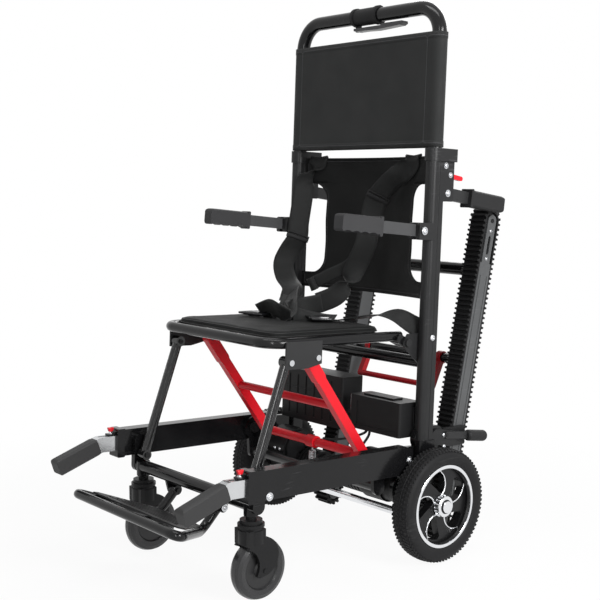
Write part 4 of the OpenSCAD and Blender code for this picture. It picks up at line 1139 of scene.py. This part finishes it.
class WHEELCHAIR_OT_lock_pins(bpy.types.Operator):
    """Spring pins on the rail fronts: steel shaft and collar under a red winged knob"""
    bl_idname = "wheelchair.lock_pins"
    bl_label = "Lock pins"

    def execute(self, context):
        tab = 121.8
        for name, s in SIDES:
            bm = bmesh.new()
            where = Matrix.Translation((237 * s, -520, tab))
            lay(bm, turned([(0, -10), (2.6, -10), (3, -9.6), (3, 0.3), (5.4, 0.3), (5.4, 2), (2.4, 2.3),
                            (2.4, 6), (0, 6)], steps=24), where)
            knob = cube((7, 9, 9.5))
            wings = [v for v in knob.verts if v.co.z > 0]
            bmesh.ops.scale(knob, vec=(1.15, 1.75, 1), verts=wings)
            lay(bm, soften(knob, 1.7), where @ Matrix.Translation((0, 0, 9.2)))
            make_piece("lock_pin_knob_" + name, bm, "lock_pin", "lock_pin_" + name,
                       stands_for=("lock_pin_" + name,))
        return {"FINISHED"}


class WHEELCHAIR_OT_spring(bpy.types.Operator):
    """Coil spring with a hook at each end, under the brace"""
    bl_idname = "wheelchair.spring"
    bl_label = "Brace spring"

    def execute(self, context):
        y, top, turns, r, pitch, steps = -125.0, 89.0, 7, 7.0, 3.6, 24
        run = [Vector((0, y, 89.4)), Vector((0, y, top - 3))]
        for i in range(steps * turns + 1):
            a = math.tau * i / steps
            run.append(Vector((r * math.cos(a), y + r * math.sin(a), top - 6 - pitch * i / steps)))
        run += [Vector((0, y, top - 8 - pitch * turns)), Vector((0, y, top - 11 - pitch * turns))]
        coil = tube(run, 1.3, resolution=3)
        make_piece("brace_coil", coil, "spring_steel", "brace", sharp=80,
                   stands_for=("brace_spring",))
        return {"FINISHED"}


def bolt(r, h, washer=0.0):
    """Button head with a socket, on a washer."""
    base = [(0, h * 0.5), (r * 0.4, h * 0.5), (r * 0.44, h), (r * 0.66, h * 0.96), (r * 0.88, h * 0.68),
            (r, h * 0.25), (r, 0.5)]
    if washer:
        base += [(washer - 0.3, 0.5), (washer, 0.2)]
    return turned(base + [(washer or r, -0.6), (0, -0.6)], steps=20)


class WHEELCHAIR_OT_fasteners(bpy.types.Operator):
    """Bolts, nuts and screws, one piece for each body that carries them"""
    bl_idname = "wheelchair.fasteners"
    bl_label = "Fasteners"

    def execute(self, context):
        out = (1, 0, 0)
        front = (0, -1, 0)
        sets = {
            "back_frame": [
                ((POST_X + 12.5, 26, 742), out, 5.0, 3.2, 7.0),
                ((POST_X + 12.5, 36, 682), out, 5.5, 3.6, 8.0),
                ((POST_X + 12.5, 42, 722), out, 4.2, 3.0, 6.2),
                ((POST_X + 20, -41, ARM_Z), out, 6.5, 3.6, 9.0),
                ((POST_X + 15, 3, 364), out, 7.0, 3.4, 0.0),
                ((153, -110.0, 59), front, 3.6, 2.4, 0.0), ((135, -110.0, 59), front, 3.6, 2.4, 0.0),
            ],
            "rail_base": [
                ((RAIL_OUT, -456, 77), out, 6.0, 3.4, 8.5), ((RAIL_OUT, -66, 101), out, 6.0, 3.4, 8.5),
                ((100, -449, 19), out, 5.2, 3.0, 8.0),
            ],
            "crawler": [
                ((POST_X + 7.4, 63, 139), out, 5.2, 3.2, 0.0), ((POST_X + 7.4, 65, 113), out, 5.2, 3.2, 0.0),
                (track_spot(TRACK_OUT - 1.2, TRACK_LEN - 90), out, 4.0, 3.0, 5.6),
                (track_spot(TRACK_OUT - 1.2, TRACK_LEN - 24), out, 4.0, 3.0, 5.6),
            ],
            "brace": [((14.2, -125, 104), out, 5.5, 3.2, 8.5)],
        }
        for body, items in sets.items():
            bm = bmesh.new()
            for at, axis, r, h, washer in items:
                for s in (1, -1):
                    at_side = Vector((at[0] * s, at[1], at[2]))
                    axis_side = Vector((axis[0] * s, axis[1], axis[2]))
                    lay(bm, bolt(r, h, washer), aim(at_side, axis_side))
            make_piece("bolts_" + body, bm, "steel", body)
        return {"FINISHED"}


class WHEELCHAIR_PT_sidebar(bpy.types.Panel):
    bl_label = "Stair climbing wheelchair"
    bl_idname = "WHEELCHAIR_PT_sidebar"
    bl_space_type = "VIEW_3D"
    bl_region_type = "UI"
    bl_category = "Wheelchair"

    def draw(self, context):
        for kind in OPERATORS:
            self.layout.operator(kind.bl_idname)
        for label in SETTINGS:
            box = self.layout.box()
            group = getattr(context.scene, label)
            for key in group.__annotations__:
                box.prop(group, key)


SETTINGS = {
    "wheelchair_studio": StudioSettings,
    "wheelchair_finish": FinishSettings,
    "wheelchair_harness": HarnessSettings,
    "wheelchair_seat": SeatSettings,
    "wheelchair_wheel": WheelSettings,
}
OPERATORS = (
    WHEELCHAIR_OT_studio,
    WHEELCHAIR_OT_finishes,
    WHEELCHAIR_OT_leads,
    WHEELCHAIR_OT_sling,
    WHEELCHAIR_OT_head_panel,
    WHEELCHAIR_OT_seat_pad,
    WHEELCHAIR_OT_harness,
    WHEELCHAIR_OT_tyres,
    WHEELCHAIR_OT_rim_trim,
    WHEELCHAIR_OT_footrest,
    WHEELCHAIR_OT_lock_pins,
    WHEELCHAIR_OT_spring,
    WHEELCHAIR_OT_fasteners,
)


def register():
    for kind in (*SETTINGS.values(), *OPERATORS, WHEELCHAIR_PT_sidebar):
        bpy.utils.register_class(kind)
    for label, kind in SETTINGS.items():
        setattr(bpy.types.Scene, label, PointerProperty(type=kind))


def unregister():
    for label in SETTINGS:
        delattr(bpy.types.Scene, label)
    for kind in reversed((*SETTINGS.values(), *OPERATORS, WHEELCHAIR_PT_sidebar)):
        bpy.utils.unregister_class(kind)


def main():
    register()
    for kind in OPERATORS:
        group, name = kind.bl_idname.split(".")
        getattr(getattr(bpy.ops, group), name)()


if __name__ == "__main__":
    main()
